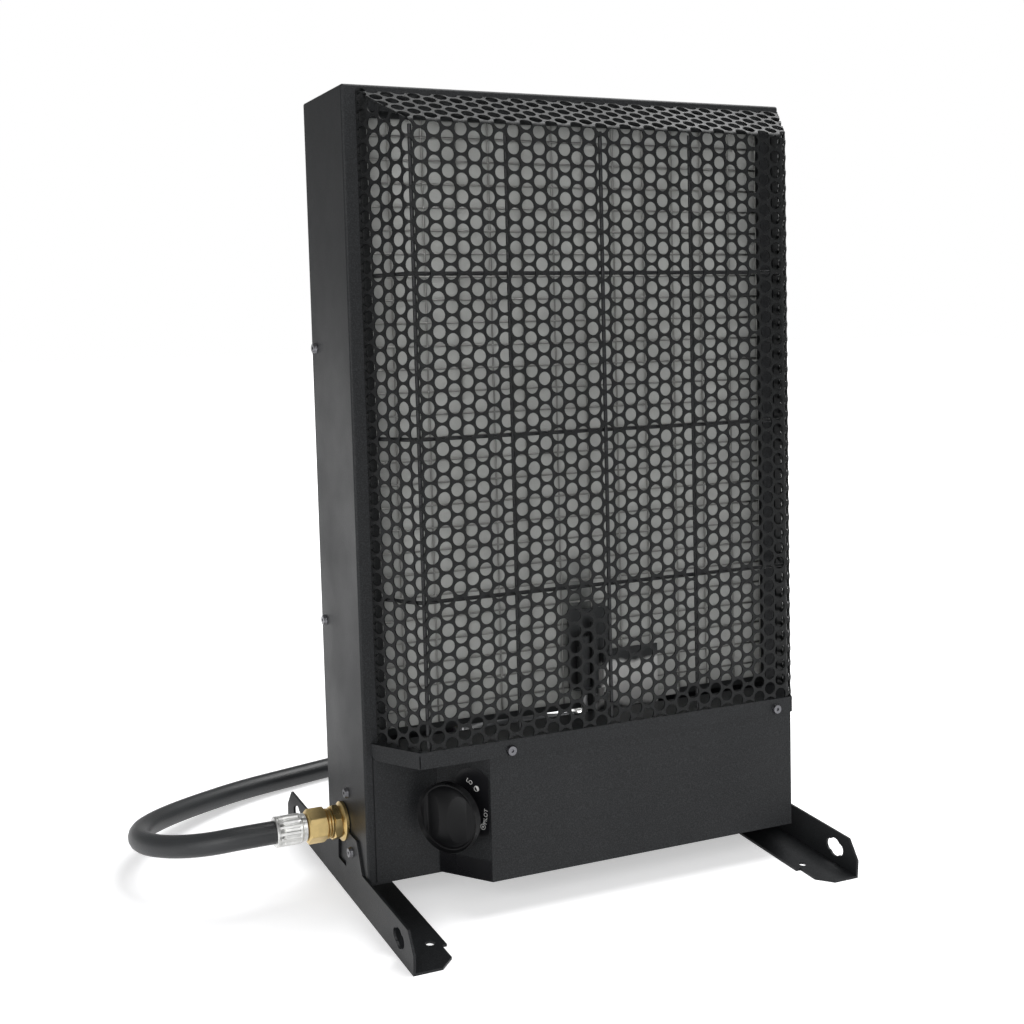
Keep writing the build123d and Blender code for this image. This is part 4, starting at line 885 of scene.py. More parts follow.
class HEATER_OT_hose(bpy.types.Operator):
    """Lays the gas hose from the heater's ferrule to its coil and its far fitting"""
    bl_idname = "heater.hose"
    bl_label = "Gas hose"

    def execute(self, context):
        settings = context.scene.heater_hose
        data = bpy.data.curves.new("gas_hose", "CURVE")
        data.dimensions = "3D"
        data.bevel_depth = settings.diameter / 2
        data.bevel_resolution = 6
        data.resolution_u = 8
        spline = data.splines.new("NURBS")
        points = hose_route(settings.turn_points)
        spline.points.add(len(points) - 1)
        for point, at in zip(spline.points, points):
            point.co = (*at, 1)
        spline.order_u = 3
        spline.use_endpoint_u = True
        hose = bpy.data.objects.new("gas_hose", data)
        context.scene.collection.objects.link(hose)
        data.materials.append(hose_rubber("black rubber", settings.colour))
        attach(hose, "heater")
        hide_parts("hose", "hose_coil")
        return {"FINISHED"}


# ---------------------------------------------------------------- brass inlet, swivel nuts and ferrules

def inlet_axis():
    """Turns height along Z into distance out along -X, on the axis of the inlet."""
    low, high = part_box("hose_ferrule")
    middle = (low + high) / 2
    return Matrix.Translation((0, middle.y, middle.z)) @ Matrix.Rotation(-math.pi / 2, 4, "Y")


def far_from_near():
    """Carries a piece of the near hose fitting to the far one."""
    near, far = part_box("hose_ferrule")[0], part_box("far_ferrule")[0]
    return Matrix.Translation(far - near)


def make_turned(name, profile, vertices):
    """A turned body: one disc extruded along Z through (height, radius) steps."""
    (height, radius), *steps = profile
    deselect_all()
    bpy.ops.mesh.primitive_circle_add(
        vertices=vertices, radius=radius, fill_type="NGON", location=(0, 0, height))
    piece = named(name)
    bpy.ops.object.transform_apply(location=True, rotation=True, scale=True)
    edit(piece, "FACE")
    bpy.ops.mesh.select_all(action="SELECT")
    for next_height, next_radius in steps:
        bpy.ops.mesh.extrude_region_move(TRANSFORM_OT_translate={"value": (0, 0, next_height - height)})
        scale = next_radius / radius
        bpy.ops.transform.resize(value=(scale, scale, 1), center_override=(0, 0, 0))
        height, radius = next_height, next_radius
    bpy.ops.mesh.select_all(action="SELECT")
    bpy.ops.mesh.normals_make_consistent(inside=False)
    leave_edit()
    return piece


def make_hexagon(name, low, high, corner_radius, turn, chamfer):
    """A hexagonal bar whose corners are turned down: a little all along, and more at both ends."""
    kept_of_corner, chamfer_slope = 0.985, 0.6
    bar = make_turned(name, [(low, corner_radius), (high, corner_radius)], vertices=6)
    place(bar, Matrix.Rotation(turn, 4, "Z"))
    largest = corner_radius * kept_of_corner
    shoulder = chamfer * chamfer_slope
    turned = make_turned("turned", [
        (low, largest - chamfer),
        (low + shoulder, largest),
        (high - shoulder, largest),
        (high, largest - chamfer),
    ], vertices=96)
    boolean(bar, turned, "INTERSECT")
    return bar


class HEATER_OT_inlet(bpy.types.Operator):
    """Turns the brass inlet fitting with its flange and its hexagon"""
    bl_idname = "heater.inlet"
    bl_label = "Inlet fitting"

    def execute(self, context):
        settings = context.scene.heater_fitting
        low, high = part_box("inlet_fitting")
        inner_end, outer_end = -high.x, -low.x
        face = settings.flange_face
        flange, neck = settings.flange_radius, settings.neck_radius
        bore_edge = neck * 0.7
        shank = settings.thread_radius * 0.7
        fitting = make_turned("brass_inlet", [
            (inner_end, shank),
            (face - 0.0010, shank),
            (face - 0.0009, flange),
            (face + 0.0008, flange),
            (face + 0.0014, flange - 0.0008),
            (face + 0.0029, flange - 0.0034),
            (face + 0.0034, neck),
            (outer_end - 0.0020, neck),
            (outer_end, bore_edge),
        ], vertices=64)
        hexagon_start = face + 0.0025
        hexagon = make_hexagon(
            "inlet hexagon", hexagon_start, hexagon_start + settings.hexagon_length,
            settings.hexagon_corner, turn=math.radians(30), chamfer=0.0014)
        boolean(fitting, hexagon, "UNION")
        place(fitting, inlet_axis())
        smooth(fitting, 30.0)
        metal = bare_metal("inlet brass", context.scene.heater_finish.brass, roughness=0.22)
        dress(fitting, metal, "heater")
        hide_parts("inlet_fitting")
        return {"FINISHED"}


def make_swivel_nut(name, settings, turn):
    """A hexagonal swivel nut: two ring beads round its mouth, a stepped wall behind."""
    low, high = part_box("inlet_nut")
    mouth, end = -high.x, -low.x
    pitch = settings.bead_pitch
    bead = settings.bead_radius
    waist = bead - settings.bead_height
    hexagon_start = mouth + 2 * pitch
    overlap = 0.001
    rise, fall = pitch * 0.2, pitch * 0.7
    collar = [(mouth, waist)]
    for base in (mouth, mouth + pitch):
        collar += [(base + rise, bead), (base + fall, bead), (base + pitch, waist)]
    collar.append((hexagon_start + overlap, waist))
    nut = make_hexagon(name, hexagon_start, end, settings.nut_corner, turn, settings.nut_chamfer)
    boolean(nut, make_turned("collar", collar, vertices=48), "UNION")
    bore = add_cylinder(
        "bore", settings.thread_radius, mouth - overlap, end - settings.nut_wall, vertices=64)
    boolean(nut, bore, "DIFFERENCE")
    return nut


class HEATER_OT_nuts(bpy.types.Operator):
    """Makes the two brass swivel nuts of the hose"""
    bl_idname = "heater.nuts"
    bl_label = "Swivel nuts"

    def execute(self, context):
        settings = context.scene.heater_fitting
        metal = bare_metal("nut brass", context.scene.heater_finish.brass, roughness=0.30)
        near = make_swivel_nut("near_swivel_nut", settings, settings.near_turn)
        far = make_swivel_nut("far_swivel_nut", settings, turn=0)
        place(near, inlet_axis())
        place(far, far_from_near() @ inlet_axis())
        for nut, node in ((near, "inlet_nut"), (far, "far_nut")):
            smooth(nut, 25.0)
            dress(nut, metal, node)
            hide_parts(node)
        return {"FINISHED"}


def make_ferrule(name, settings):
    """A crimped sleeve: a plain collar, long flutes and a ring of deep crimps at the hose."""
    low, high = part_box("hose_ferrule")
    start, end = -high.x, -low.x
    radius = settings.ferrule_radius
    collar = radius - 0.0007
    flutes_start = start + 0.0050
    crimp_start, crimp_end = end - 0.0046, end - 0.0022
    corners_a_flute = 6
    ferrule = make_turned(name, [
        (start, collar - 0.0009),
        (start + 0.0004, collar),
        (start + 0.0030, collar),
        (start + 0.0036, radius),
        (start + 0.0042, radius),
        (flutes_start, radius),
        (crimp_start - 0.0006, radius),
        (crimp_start, radius),
        (crimp_end, radius),
        (crimp_end + 0.0004, radius),
        (end - 0.0006, radius + 0.0002),
        (end, radius - 0.0004),
    ], vertices=corners_a_flute * settings.flutes)

    def in_flute(vertex):
        """Whether a vertex lies in the pressed part of its flute's share of the turn."""
        turn = math.atan2(vertex.co.y, vertex.co.x) / math.tau * settings.flutes % 1.0
        return 0.1 < turn < 0.55

    # The ring where the two stretches meet is pressed in twice, which makes the deep crimps.
    nearly = 0.0001
    scale = 1 - settings.flute_depth / radius
    edit(ferrule)
    for lowest, highest in ((flutes_start, crimp_start), (crimp_start, crimp_end)):
        select_where(ferrule, "verts", lambda vertex: (
            lowest - nearly < vertex.co.z < highest + nearly and in_flute(vertex)))
        bpy.ops.transform.resize(value=(scale, scale, 1), center_override=(0, 0, 0))
    leave_edit()
    return ferrule


class HEATER_OT_ferrules(bpy.types.Operator):
    """Makes the crimped ferrules at both ends of the hose"""
    bl_idname = "heater.ferrules"
    bl_label = "Crimped ferrules"

    def execute(self, context):
        settings = context.scene.heater_fitting
        zinc = context.scene.heater_finish.sleeve_zinc
        metal = bare_metal("zinc plated sleeve", zinc, roughness=0.24)
        near = make_ferrule("near_crimped_ferrule", settings)
        far = make_ferrule("far_crimped_ferrule", settings)
        place(near, inlet_axis())
        place(far, far_from_near() @ inlet_axis())
        for ferrule, node in ((near, "hose_ferrule"), (far, "far_ferrule")):
            smooth(ferrule, 14.0)
            dress(ferrule, metal, "heater")
            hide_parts(node)
        return {"FINISHED"}


# ---------------------------------------------------------------- guard

def make_hole_pattern(settings):
    """A flat blank of perforated sheet, large enough for the guard: width along X, height along Y."""
    corner_radius = settings.hole_pitch / math.sqrt(3)
    column_pitch = settings.hole_pitch * math.sqrt(3) / 2
    turn = (0, 0, math.radians(30))
    deselect_all()
    bpy.ops.mesh.primitive_circle_add(
        vertices=6, radius=corner_radius, fill_type="NOTHING", rotation=turn)
    blank = named("guard")
    bpy.ops.object.transform_apply(location=True, rotation=True, scale=True)
    corners_a_side = 3
    edit(blank, "EDGE")
    bpy.ops.mesh.select_all(action="SELECT")
    bpy.ops.mesh.subdivide(number_cuts=corners_a_side - 1)
    bpy.ops.mesh.primitive_circle_add(
        vertices=6 * corners_a_side, radius=settings.hole_radius, fill_type="NOTHING", rotation=turn)
    bpy.ops.mesh.select_all(action="SELECT")
    bpy.ops.mesh.bridge_edge_loops()
    bpy.ops.mesh.select_all(action="SELECT")
    bpy.ops.mesh.duplicate_move(
        TRANSFORM_OT_translate={"value": (column_pitch, settings.hole_pitch / 2, 0)})
    leave_edit()
    if blank.data.polygons[0].normal.z < 0:
        blank.data.flip_normals()

    # More rows and columns than the unfolded guard has. Its outline is cut from them.
    rows, column_pairs = 44, 21
    columns_left_of_middle, rows_below_lowest = 20, 2
    repeat(blank, rows, (0, settings.hole_pitch, 0))
    repeat(blank, column_pairs, (2 * column_pitch, 0, 0))
    first_column = -columns_left_of_middle * column_pitch
    first_row = LOWEST_HOLE_ROW - rows_below_lowest * settings.hole_pitch
    place(blank, Matrix.Translation((first_column, first_row, 0)))
    edit(blank)
    bpy.ops.mesh.select_all(action="SELECT")
    bpy.ops.mesh.remove_doubles(threshold=0.00001)
    leave_edit()
    return blank


def cut(at, normal, keep_both=False):
    """Cuts the open mesh along a line and clears the side that the normal points to, or keeps both."""
    bpy.ops.mesh.select_all(action="SELECT")
    bpy.ops.mesh.bisect(plane_co=(*at, 0), plane_no=(*normal, 0), clear_outer=not keep_both)


class FlatGuard:
    """The sizes of the guard's blank before it is folded, and where its parts lie."""

    def __init__(self):
        self.side_angle = math.atan2(GUARD_DEPTH, GUARD_SLOPE_RUN)
        self.top_angle = math.atan2(GUARD_DEPTH, GUARD_BASE_TOP - GUARD_FOLD_TOP)
        self.side_slant = GUARD_DEPTH / math.sin(self.side_angle)
        self.top_slant = GUARD_DEPTH / math.sin(self.top_angle)
        self.top_edge = GUARD_FOLD_TOP + self.top_slant
        # Both seams start at the upper fold corners. The open corner between them closes in folding.
        self.side_seam = math.atan2(GUARD_BASE_TOP - GUARD_FOLD_TOP, self.side_slant)
        self.top_seam = math.atan2(self.top_slant, GUARD_SLOPE_RUN)

    def beyond_fold(self, point):
        """How far a point lies outside the nearer side fold."""
        return max(side * (point.x - fold_x) for side, fold_x in GUARD_FOLDS.values())

    def seam_angle(self, point):
        """The direction of a point from the upper fold corner, measured up from the side."""
        return math.atan2(point.y - GUARD_FOLD_TOP, self.beyond_fold(point))

    def in_gap(self, point):
        """Whether a point lies in the open corner between a side flap and the top flap."""
        beyond = self.beyond_fold(point) > 0 and point.y > GUARD_FOLD_TOP
        return beyond and self.side_seam < self.seam_angle(point) < self.top_seam

    def in_top(self, point, reach):
        """Whether a point lies on the top flap or on the bend in front of it."""
        between_seams = (self.side_seam + self.top_seam) / 2
        return point.y > GUARD_FOLD_TOP - reach and self.seam_angle(point) > between_seams


def cut_guard_outline(blank, flat, reach):
    """Trims the blank to its flaps, cuts the seams and scores the folds."""
    shifts = (-reach, 0, reach)
    edit(blank, "FACE")
    cut((0, GUARD_BOTTOM), (0, -1))
    cut((0, flat.top_edge), (0, 1))
    for side, fold_x in GUARD_FOLDS.values():
        cut((fold_x + side * flat.side_slant, 0), (side, 0))
        for shift in shifts:
            cut((fold_x + side * shift, 0), (side, 0), keep_both=True)
    for shift in shifts:
        cut((0, GUARD_FOLD_TOP + shift), (0, 1), keep_both=True)
    for side, fold_x in GUARD_FOLDS.values():
        for angle in (flat.side_seam, flat.top_seam):
            select_where(blank, "faces", lambda face: (
                (face.calc_center_median().x - fold_x) * side > 0
                and face.calc_center_median().y > GUARD_FOLD_TOP))
            bpy.ops.mesh.bisect(
                plane_co=(fold_x, GUARD_FOLD_TOP, 0),
                plane_no=(-side * math.sin(angle), math.cos(angle), 0))

    def in_relief(point):
        """Whether a point lies in the small square cut out where the folds meet."""
        near = reach * 1.01  # a little over the bends' half width
        return abs(flat.beyond_fold(point)) < near and abs(point.y - GUARD_FOLD_TOP) < near

    select_where(blank, "faces", lambda face: (
        flat.in_gap(face.calc_center_median()) or in_relief(face.calc_center_median())))
    bpy.ops.mesh.delete(type="FACE")
    leave_edit()


def mark_vertices(piece, name, test):
    """Keeps the corners of the faces whose middles pass the test as a vertex group."""
    group = piece.vertex_groups.new(name=name)
    members = set()
    for face in piece.data.polygons:
        if test(face.center):
            members.update(face.vertices)
    group.add(sorted(members), 1.0, "REPLACE")


def fold(piece, group, at, axis, angle, beyond):
    """Turns the part of a flap that lies beyond a line about that line."""
    edit(piece)
    piece.vertex_groups.active = piece.vertex_groups[group]
    bpy.ops.object.vertex_group_select()
    mesh = bmesh.from_edit_mesh(piece.data)
    for vertex in mesh.verts:
        if vertex.select and not beyond(vertex.co):
            vertex.select_set(False)
    bmesh.update_edit_mesh(piece.data)
    bpy.ops.transform.rotate(
        value=angle, orient_axis=axis, orient_type="GLOBAL", center_override=at)
    leave_edit()


def fold_guard(blank, flat, reach):
    """Folds the two side flaps and the top flap back, each in small bends, the outermost first."""
    mark_vertices(blank, "top", lambda point: flat.in_top(point, reach))
    for name, (side, fold_x) in GUARD_FOLDS.items():
        mark_vertices(blank, name, lambda point: (
            (point.x - fold_x) * side > -reach and not flat.in_top(point, reach)))
    nearly = 0.00001
    bends = (reach, 0, -reach)
    for shift in bends:
        for name, (side, fold_x) in GUARD_FOLDS.items():
            line = fold_x + side * shift
            fold(blank, name, (line, 0, 0), "Y", -side * flat.side_angle / len(bends),
                 lambda point: (point.x - line) * side > nearly)
        line = GUARD_FOLD_TOP + shift
        fold(blank, "top", (0, line, 0), "X", flat.top_angle / len(bends),
             lambda point: point.y > line + nearly)


def turn_in_rim(blank, width):
    """Extrudes the flaps' outer edges into the rim that lies on the case."""
    slack = 0.0006
    directions = {"left": (width, 0, 0), "right": (-width, 0, 0), "top": (0, -width, 0)}
    for name, step in directions.items():
        edit(blank, "EDGE")
        group = blank.vertex_groups[name].index
        mesh = bmesh.from_edit_mesh(blank.data)
        layer = mesh.verts.layers.deform.active
        for one in mesh.edges:
            outer = all(
                group in vertex[layer] and vertex.co.z < slack - GUARD_DEPTH for vertex in one.verts)
            one.select_set(outer and one.is_boundary)
        bmesh.update_edit_mesh(blank.data)
        bpy.ops.mesh.extrude_edges_move(TRANSFORM_OT_translate={"value": step})
        leave_edit()


class HEATER_OT_guard(bpy.types.Operator):
    """Folds the perforated guard from one sheet with its two side flaps and its top flap"""
    bl_idname = "heater.guard"
    bl_label = "Perforated guard"

    def execute(self, context):
        settings = context.scene.heater_guard
        flat = FlatGuard()
        blank = make_hole_pattern(settings)
        cut_guard_outline(blank, flat, settings.bend_reach)
        fold_guard(blank, flat, settings.bend_reach)
        turn_in_rim(blank, settings.rim)
        blank.vertex_groups.clear()
        apply_modifier(
            blank, "SOLIDIFY", thickness=settings.sheet, offset=-1.0, use_even_offset=True)
        place(blank, CASE_TO_ROW @ Matrix.Rotation(math.pi / 2, 4, "X"))
        smooth(blank, 35.0)
        colour = context.scene.heater_finish.guard_black
        coat = powder_coat("guard powder coat", colour, roughness=(0.36, 0.50), shine=0.20)
        dress(blank, coat, "heater")
        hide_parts("guard_front", "guard_left", "guard_right", "guard_top")
        return {"FINISHED"}


# ---------------------------------------------------------------- catalyst pad and its screen

def on_case_front(depth):
    """Carries what was modelled flat round the origin to the pad's middle, at a depth in the case."""
    middle = (PAD_LOW + PAD_HIGH) / 2
    upright = Matrix.Rotation(math.pi / 2, 4, "X")
    return CASE_TO_ROW @ Matrix.Translation((0, depth, middle)) @ upright


class HEATER_OT_pad(bpy.types.Operator):
    """Models the felted catalyst pad, pressed in a little along the screen's wires"""
    bl_idname = "heater.pad"
    bl_label = "Catalyst pad"

    def execute(self, context):
        settings = context.scene.heater_pad
        width = 2 * PAD_HALF_WIDTH
        columns = round(width / settings.wire_pitch_x)
        rows = round(PAD_HEIGHT / settings.wire_pitch_z)
        cuts_a_wire = 4
        deselect_all()
        bpy.ops.mesh.primitive_grid_add(
            x_subdivisions=cuts_a_wire * columns, y_subdivisions=cuts_a_wire * rows, size=1.0)
        pad = named("catalyst_fibre_pad")
        pad.scale = (width, PAD_HEIGHT, 1)
        bpy.ops.object.transform_apply(location=True, rotation=True, scale=True)

        def near_line(distance, pitch):
            """Whether a distance from the pad's edge is within a tenth of a pitch of a wire's line."""
            return abs(distance / pitch % 1.0 - 0.5) > 0.4

        edit(pad)
        select_where(pad, "verts", lambda vertex: (
            near_line(vertex.co.x + width / 2, width / columns)
            or near_line(vertex.co.y + PAD_HEIGHT / 2, PAD_HEIGHT / rows)))
        bpy.ops.transform.translate(value=(0, 0, -settings.groove))
        select_where(pad, "edges", lambda one: one.is_boundary)
        bpy.ops.mesh.extrude_edges_move(TRANSFORM_OT_translate={"value": (0, 0, PAD_FRONT - PAD_BACK)})
        bpy.ops.mesh.edge_face_add()
        leave_edit()
        place(pad, on_case_front(PAD_FRONT))
        smooth(pad, 60.0)
        # The pad is darkened by a soot stain round the pilot and by painted shade along its bottom
        # edge.
        fibre = felted_fibre("catalyst fibre", settings.colour, smoke_and_shade=PAD_SMOKE_AND_SHADE)
        dress(pad, fibre, "heater")
        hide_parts("catalyst_pad")
        return {"FINISHED"}


def make_waved_wires(name, length, crossings, count, pitch, settings):
    """A row of wires along X, each rising and dipping at its crossings, its neighbour the other way."""
    deselect_all()
    bpy.ops.mesh.primitive_cylinder_add(
        vertices=8, radius=settings.wire_radius, depth=length, rotation=(0, math.pi / 2, 0))
    wires = named(name)
    bpy.ops.object.transform_apply(location=True, rotation=True, scale=True)
    edit(wires, "EDGE")
    select_where(wires, "edges", lambda one: abs(one.verts[0].co.x - one.verts[1].co.x) > length / 2)
    bpy.ops.mesh.subdivide(number_cuts=crossings - 1)
    bpy.ops.mesh.select_mode(type="VERT")
    step = length / crossings
    for parity, rise in ((0, -settings.wire_wave), (1, settings.wire_wave)):
        select_where(wires, "verts", lambda vertex: (
            round((vertex.co.x + length / 2) / step) % 2 == parity))
        bpy.ops.transform.translate(value=(0, 0, rise))
    bpy.ops.mesh.select_all(action="SELECT")
    bpy.ops.mesh.duplicate_move(TRANSFORM_OT_translate={"value": (0, pitch, 0)})
    bpy.ops.transform.resize(value=(1, 1, -1), center_override=(0, 0, 0))
    bpy.ops.mesh.flip_normals()
    leave_edit()
    pairs = count // 2
    repeat(wires, pairs, (0, 2 * pitch, 0))
    place(wires, Matrix.Translation((0, -pitch * (2 * pairs - 1) / 2, 0)))
    return wires


class HEATER_OT_screen(bpy.types.Operator):
    """Weaves the light wire screen that holds the pad"""
    bl_idname = "heater.screen"
    bl_label = "Pad screen"

    def execute(self, context):
        settings = context.scene.heater_pad
        low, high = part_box("pad_screen")
        half = (high.x - low.x) / 2
        columns = 2 * round(half / settings.wire_pitch_x)
        rows = 2 * round(PAD_HEIGHT / settings.wire_pitch_z / 2)
        across = make_waved_wires(
            "cross wires", 2 * half, columns, rows, settings.wire_pitch_z, settings)
        upright = make_waved_wires(
            "upright wires", PAD_HEIGHT, rows, columns, settings.wire_pitch_x, settings)
        place(upright, Matrix.Rotation(math.pi / 2, 4, "Z"))
        screen = join("woven_screen", across, upright)
        place(screen, on_case_front(SCREEN_MIDDLE))
        smooth(screen, 60.0)
        # The wires' dark colour includes painted shade for their shadows on the pad.
        metal = bare_metal("screen wire", settings.wire_colour_with_painted_shade, roughness=0.28)
        dress(screen, metal, "heater")
        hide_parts("pad_screen")
        return {"FINISHED"}


# ---------------------------------------------------------------- knob and dial

def make_knob_skirt(settings):
    """The round skirt, its face sunk inside a thin lip."""
    skirt = add_cylinder(
        "control_knob", settings.radius, settings.back, settings.rim_height, vertices=96)
    edit(skirt, "FACE")
    select_where(skirt, "faces", lambda face: face.normal.z > 0.9)
    bpy.ops.mesh.inset(thickness=settings.lip_width)
    bpy.ops.transform.translate(value=(0, 0, -settings.dish))
    leave_edit()
    return skirt


def make_knob_grip(settings):
    """A low dome, hollowed on both sides so that a finger ridge stands between them."""
    # The dome ends a little inside the lip, and starts as far below the sunk face as that is sunk.
    radius = settings.radius - settings.lip_width * 1.1
    foot = settings.rim_height - settings.dish * 2
    deselect_all()
    bpy.ops.mesh.primitive_uv_sphere_add(segments=96, ring_count=48, radius=radius)
    grip = named("grip")
    flatten = Matrix.Diagonal((1, 1, (settings.height - foot) / radius, 1))
    place(grip, Matrix.Translation((0, 0, foot)) @ flatten)
    edit(grip)
    bpy.ops.mesh.select_all(action="SELECT")
    bpy.ops.mesh.bisect(
        plane_co=(0, 0, foot), plane_no=(0, 0, -1), use_fill=True, clear_outer=True)
    leave_edit()
    middle_height = settings.rim_height - settings.dish + settings.scoop_radius
    rise = middle_height - settings.height
    reach = math.sqrt(settings.scoop_radius ** 2 - rise ** 2)
    scoop_end = 2 * settings.radius
    for side in (-1, 1):
        scoop = add_cylinder("scoop", settings.scoop_radius, -scoop_end, scoop_end, vertices=128)
        at = (side * (settings.ridge_width / 2 + reach), 0, middle_height)
        place(scoop, Matrix.Translation(at) @ Matrix.Rotation(math.pi / 2, 4, "X"))
        boolean(grip, scoop, "DIFFERENCE")
    return grip


class HEATER_OT_knob(bpy.types.Operator):
    """Models the round control knob with the finger ridge across its sunk face"""
    bl_idname = "heater.knob"
    bl_label = "Control knob"

    def execute(self, context):
        settings = context.scene.heater_knob
        knob = make_knob_skirt(settings)
        boolean(knob, make_knob_grip(settings), "UNION")
        overlap = 0.001
        hub = add_cylinder(
            "hub", settings.hub_radius, settings.hub_back, settings.back + overlap, vertices=48)
        boolean(knob, hub, "UNION")
        apply_modifier(
            knob, "BEVEL", width=settings.edge, segments=3, limit_method="ANGLE",
            angle_limit=math.radians(40))
        place(knob, VALVE_TO_ROW)
        smooth(knob, 40.0)
        colour = context.scene.heater_finish.plastic_black
        plastic = moulded_plastic("knob plastic", colour, roughness=0.32, shine=0.14)
        dress(knob, plastic, "knob")
        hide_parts("knob")
        return {"FINISHED"}


# Each word of the dial: its text, where its middle is on the panel, and the turn of its baseline.
DIAL_WORDS = (
    ("LO", (0.0045, 0.0175), -30.0),
    ("PILOT", (0.0154, -0.0022), 82.0),
    ("OFF", (0.0030, -0.0100), 0.0),
    ("HI", (-0.0075, 0.0080), 60.0),
)
LOW_FLAME_AT = (0.0094, 0.0139)
PILOT_FLAME_AT = (0.0133, -0.0086)
LABEL_FACE = 0.00025  # how far the label's face stands out from the panel
SIZE_FOR_CAPITAL = 1.38  # the font size at which a capital letter is 1 high


def make_word(word, at, turn, settings):
    """One word of the dial as a thin printed mesh."""
    deselect_all()
    bpy.ops.object.text_add()
    text = bpy.context.object
    text.data.body = word
    text.data.size = settings.letter_height * SIZE_FOR_CAPITAL
    text.data.align_x = "CENTER"
    text.data.align_y = "CENTER"
    text.data.extrude = settings.mark_height / 2
    text.data.resolution_u = 3
    bpy.ops.object.convert(target="MESH")
    piece = named("dial_word_" + word.lower())
    return place(piece, Matrix.Translation((*at, 0)) @ Matrix.Rotation(math.radians(turn), 4, "Z"))


def make_ring(at, settings):
    """A thin printed circle."""
    line = settings.icon_radius * 0.13  # half the printed line's width
    deselect_all()
    bpy.ops.mesh.primitive_torus_add(
        major_segments=28, minor_segments=6, major_radius=settings.icon_radius, minor_radius=line)
    ring = named("dial_ring")
    flatten = Matrix.Diagonal((1, 1, settings.mark_height / (2 * line), 1))
    return place(ring, Matrix.Translation((*at, 0)) @ flatten)


def make_disc(name, radius, settings, vertices):
    """A thin printed disc, as thick as the other marks."""
    half_height = settings.mark_height / 2
    return add_cylinder(name, radius, -half_height, half_height, vertices)


def make_low_flame(settings):
    """The low setting's icon: a circle with its upper right half filled."""
    half = make_disc("dial_half", settings.icon_radius, settings, vertices=28)
    edit(half)
    bpy.ops.mesh.select_all(action="SELECT")
    bpy.ops.mesh.bisect(plane_co=(0, 0, 0), plane_no=(-1, -0.6, 0), use_fill=True, clear_outer=True)
    leave_edit()
    place(half, Matrix.Translation((*LOW_FLAME_AT, 0)))
    return half, make_ring(LOW_FLAME_AT, settings)


def make_pilot_flame(settings):
    """The pilot's icon: a circle round a dot."""
    dot = make_disc("dial_dot", settings.icon_radius * 0.4, settings, vertices=20)
    place(dot, Matrix.Translation((*PILOT_FLAME_AT, 0)))
    return dot, make_ring(PILOT_FLAME_AT, settings)


class HEATER_OT_dial(bpy.types.Operator):
    """Prints the dial's generic marks on the label"""
    bl_idname = "heater.dial"
    bl_label = "Dial marks"

    def execute(self, context):
        settings = context.scene.heater_dial
        words = [make_word(word, at, turn, settings) for word, at, turn in DIAL_WORDS]
        marks = join("dial_marks", *words, *make_low_flame(settings), *make_pilot_flame(settings))
        height = LABEL_FACE + settings.mark_height / 2
        place(marks, VALVE_TO_ROW @ Matrix.Translation((0, 0, height)))
        dress(marks, printed_mark("dial print", settings.colour), "heater")
        return {"FINISHED"}


# ---------------------------------------------------------------- finishes of the CAD's own parts

SOOTED_NODES = ("pilot_bracket", "pilot_burner", "thermocouple", "igniter_electrode", "pad_retainer")


def slot_of_node():
    """The record's material slot for each CAD node."""
    return {part["node"]: part["material_slot"] for part in frame["record"]["subparts"]}


def cad_finishes(finish, pad, hose):
    """The material of each of the record's slots."""
    return {
        "black_sheet": powder_coat("case powder coat", finish.powder_black),
        "zinc_sheet": bare_metal("bare coated sheet", finish.sheet_zinc, roughness=0.38),
        "black_wire": powder_coat(
            "black wire", finish.wire_black, roughness=(0.3, 0.42), pebble=0.00002),
        "screw_steel": bare_metal("blackened steel", finish.screw_black, roughness=0.20),
        "knob_plastic": moulded_plastic("black plastic", finish.plastic_black),
        "label_film": moulded_plastic("label film", finish.label_black, roughness=0.24),
        "steel": bare_metal("plain steel", finish.steel, roughness=0.32),
        "spring_steel": bare_metal("spring wire", finish.steel, roughness=0.24),
        "brass": bare_metal("machined brass", finish.brass, roughness=0.26),
        "valve_metal": bare_metal("cast metal", finish.cast_metal, roughness=0.48, drawn=0.00004),
        "tube_metal": bare_metal("soft tube", finish.tube_metal, roughness=0.34),
        "ceramic_fibre": felted_fibre("spare fibre", pad.colour),
        "insulation": felted_fibre("white insulation", finish.insulation),
        "light_wire": bare_metal("light wire", finish.steel, roughness=0.35),
        "electrode_ceramic": moulded_plastic("white ceramic", finish.ceramic, roughness=0.3),
        "lead_plastic": moulded_plastic("lead sleeve", finish.lead_black, roughness=0.45),
        "hose_rubber": moulded_plastic("rubber core", hose.colour, roughness=0.5),
        "crimp_steel": bare_metal("zinc plated crimp", finish.crimp_zinc, roughness=0.22),
    }


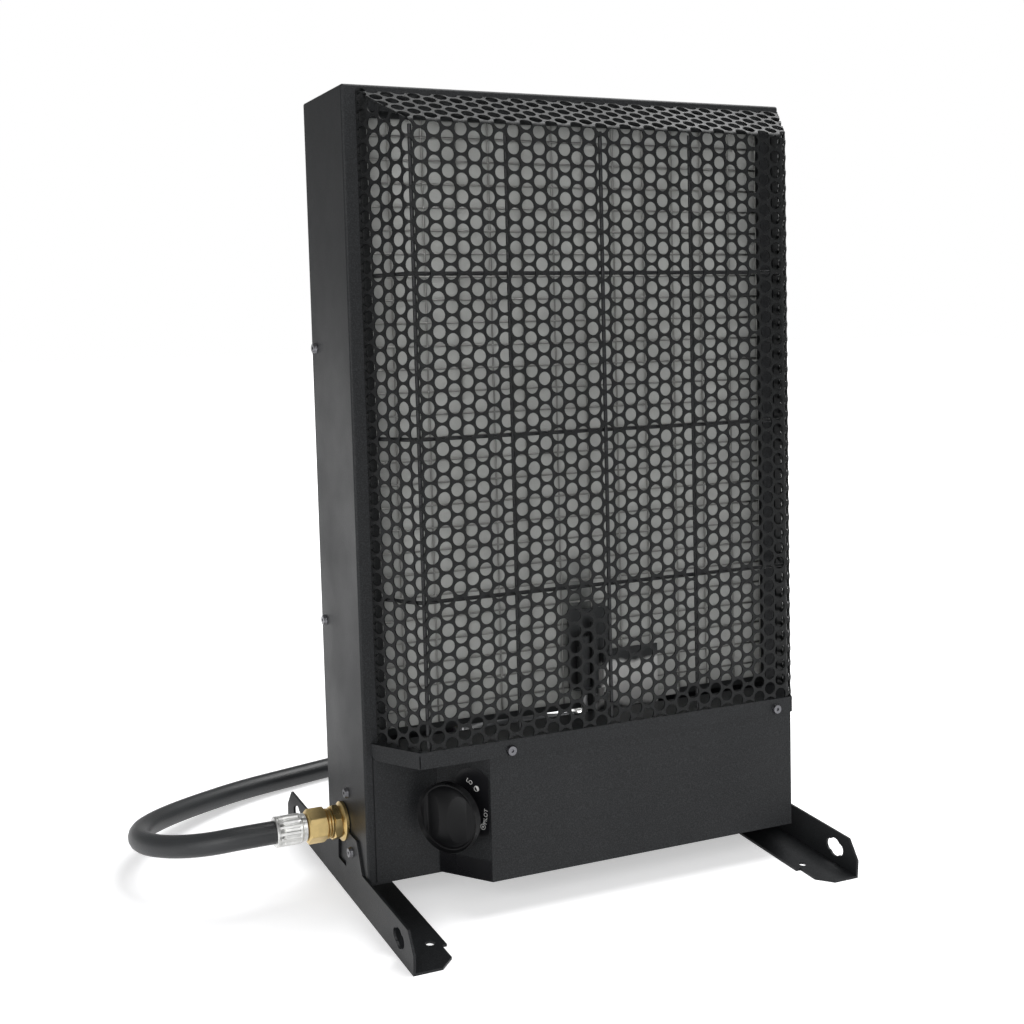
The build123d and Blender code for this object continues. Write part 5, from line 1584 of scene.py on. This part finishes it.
class HEATER_OT_finishes(bpy.types.Operator):
    """Gives every part of the CAD frame the finish of its slot"""
    bl_idname = "heater.finishes"
    bl_label = "Finishes"

    def execute(self, context):
        scene = context.scene
        finish = scene.heater_finish
        finishes = cad_finishes(finish, scene.heater_pad, scene.heater_hose)
        sooted = sooted_metal("sooted pilot metal", finish.soot, finish.sheet_zinc, BRIGHT_PLATE)
        slots = slot_of_node()
        for name, node in frame["nodes"].items():
            material = sooted if name in SOOTED_NODES else finishes[slots[name]]
            node.data.materials.clear()
            node.data.materials.append(material)
        return {"FINISHED"}


# ---------------------------------------------------------------- panel and registration

class HEATER_PT_panel(bpy.types.Panel):
    """Lists the steps that dress the heater"""
    bl_idname = "HEATER_PT_panel"
    bl_label = "Portable heater"
    bl_space_type = "VIEW_3D"
    bl_region_type = "UI"
    bl_category = "Heater"

    def draw(self, context):
        for name, group in SETTINGS.items():
            box = self.layout.box()
            for value in group.__annotations__:
                box.prop(getattr(context.scene, name), value)
        for operator in OPERATORS:
            self.layout.operator(operator.bl_idname)


OPERATORS = (
    HEATER_OT_stage,
    HEATER_OT_nuts,
    HEATER_OT_ferrules,
    HEATER_OT_hose,
    HEATER_OT_inlet,
    HEATER_OT_finishes,
    HEATER_OT_guard,
    HEATER_OT_pad,
    HEATER_OT_screen,
    HEATER_OT_knob,
    HEATER_OT_dial,
)


def register():
    for name, group in SETTINGS.items():
        bpy.utils.register_class(group)
        setattr(bpy.types.Scene, name, bpy.props.PointerProperty(type=group))
    for operator in OPERATORS:
        bpy.utils.register_class(operator)
    bpy.utils.register_class(HEATER_PT_panel)


def unregister():
    bpy.utils.unregister_class(HEATER_PT_panel)
    for operator in reversed(OPERATORS):
        bpy.utils.unregister_class(operator)
    for name, group in SETTINGS.items():
        delattr(bpy.types.Scene, name)
        bpy.utils.unregister_class(group)


def main():
    """Runs every step in order."""
    register()
    for operator in OPERATORS:
        group, step = operator.bl_idname.split(".")
        getattr(getattr(bpy.ops, group), step)()


if __name__ == "__main__":
    main()
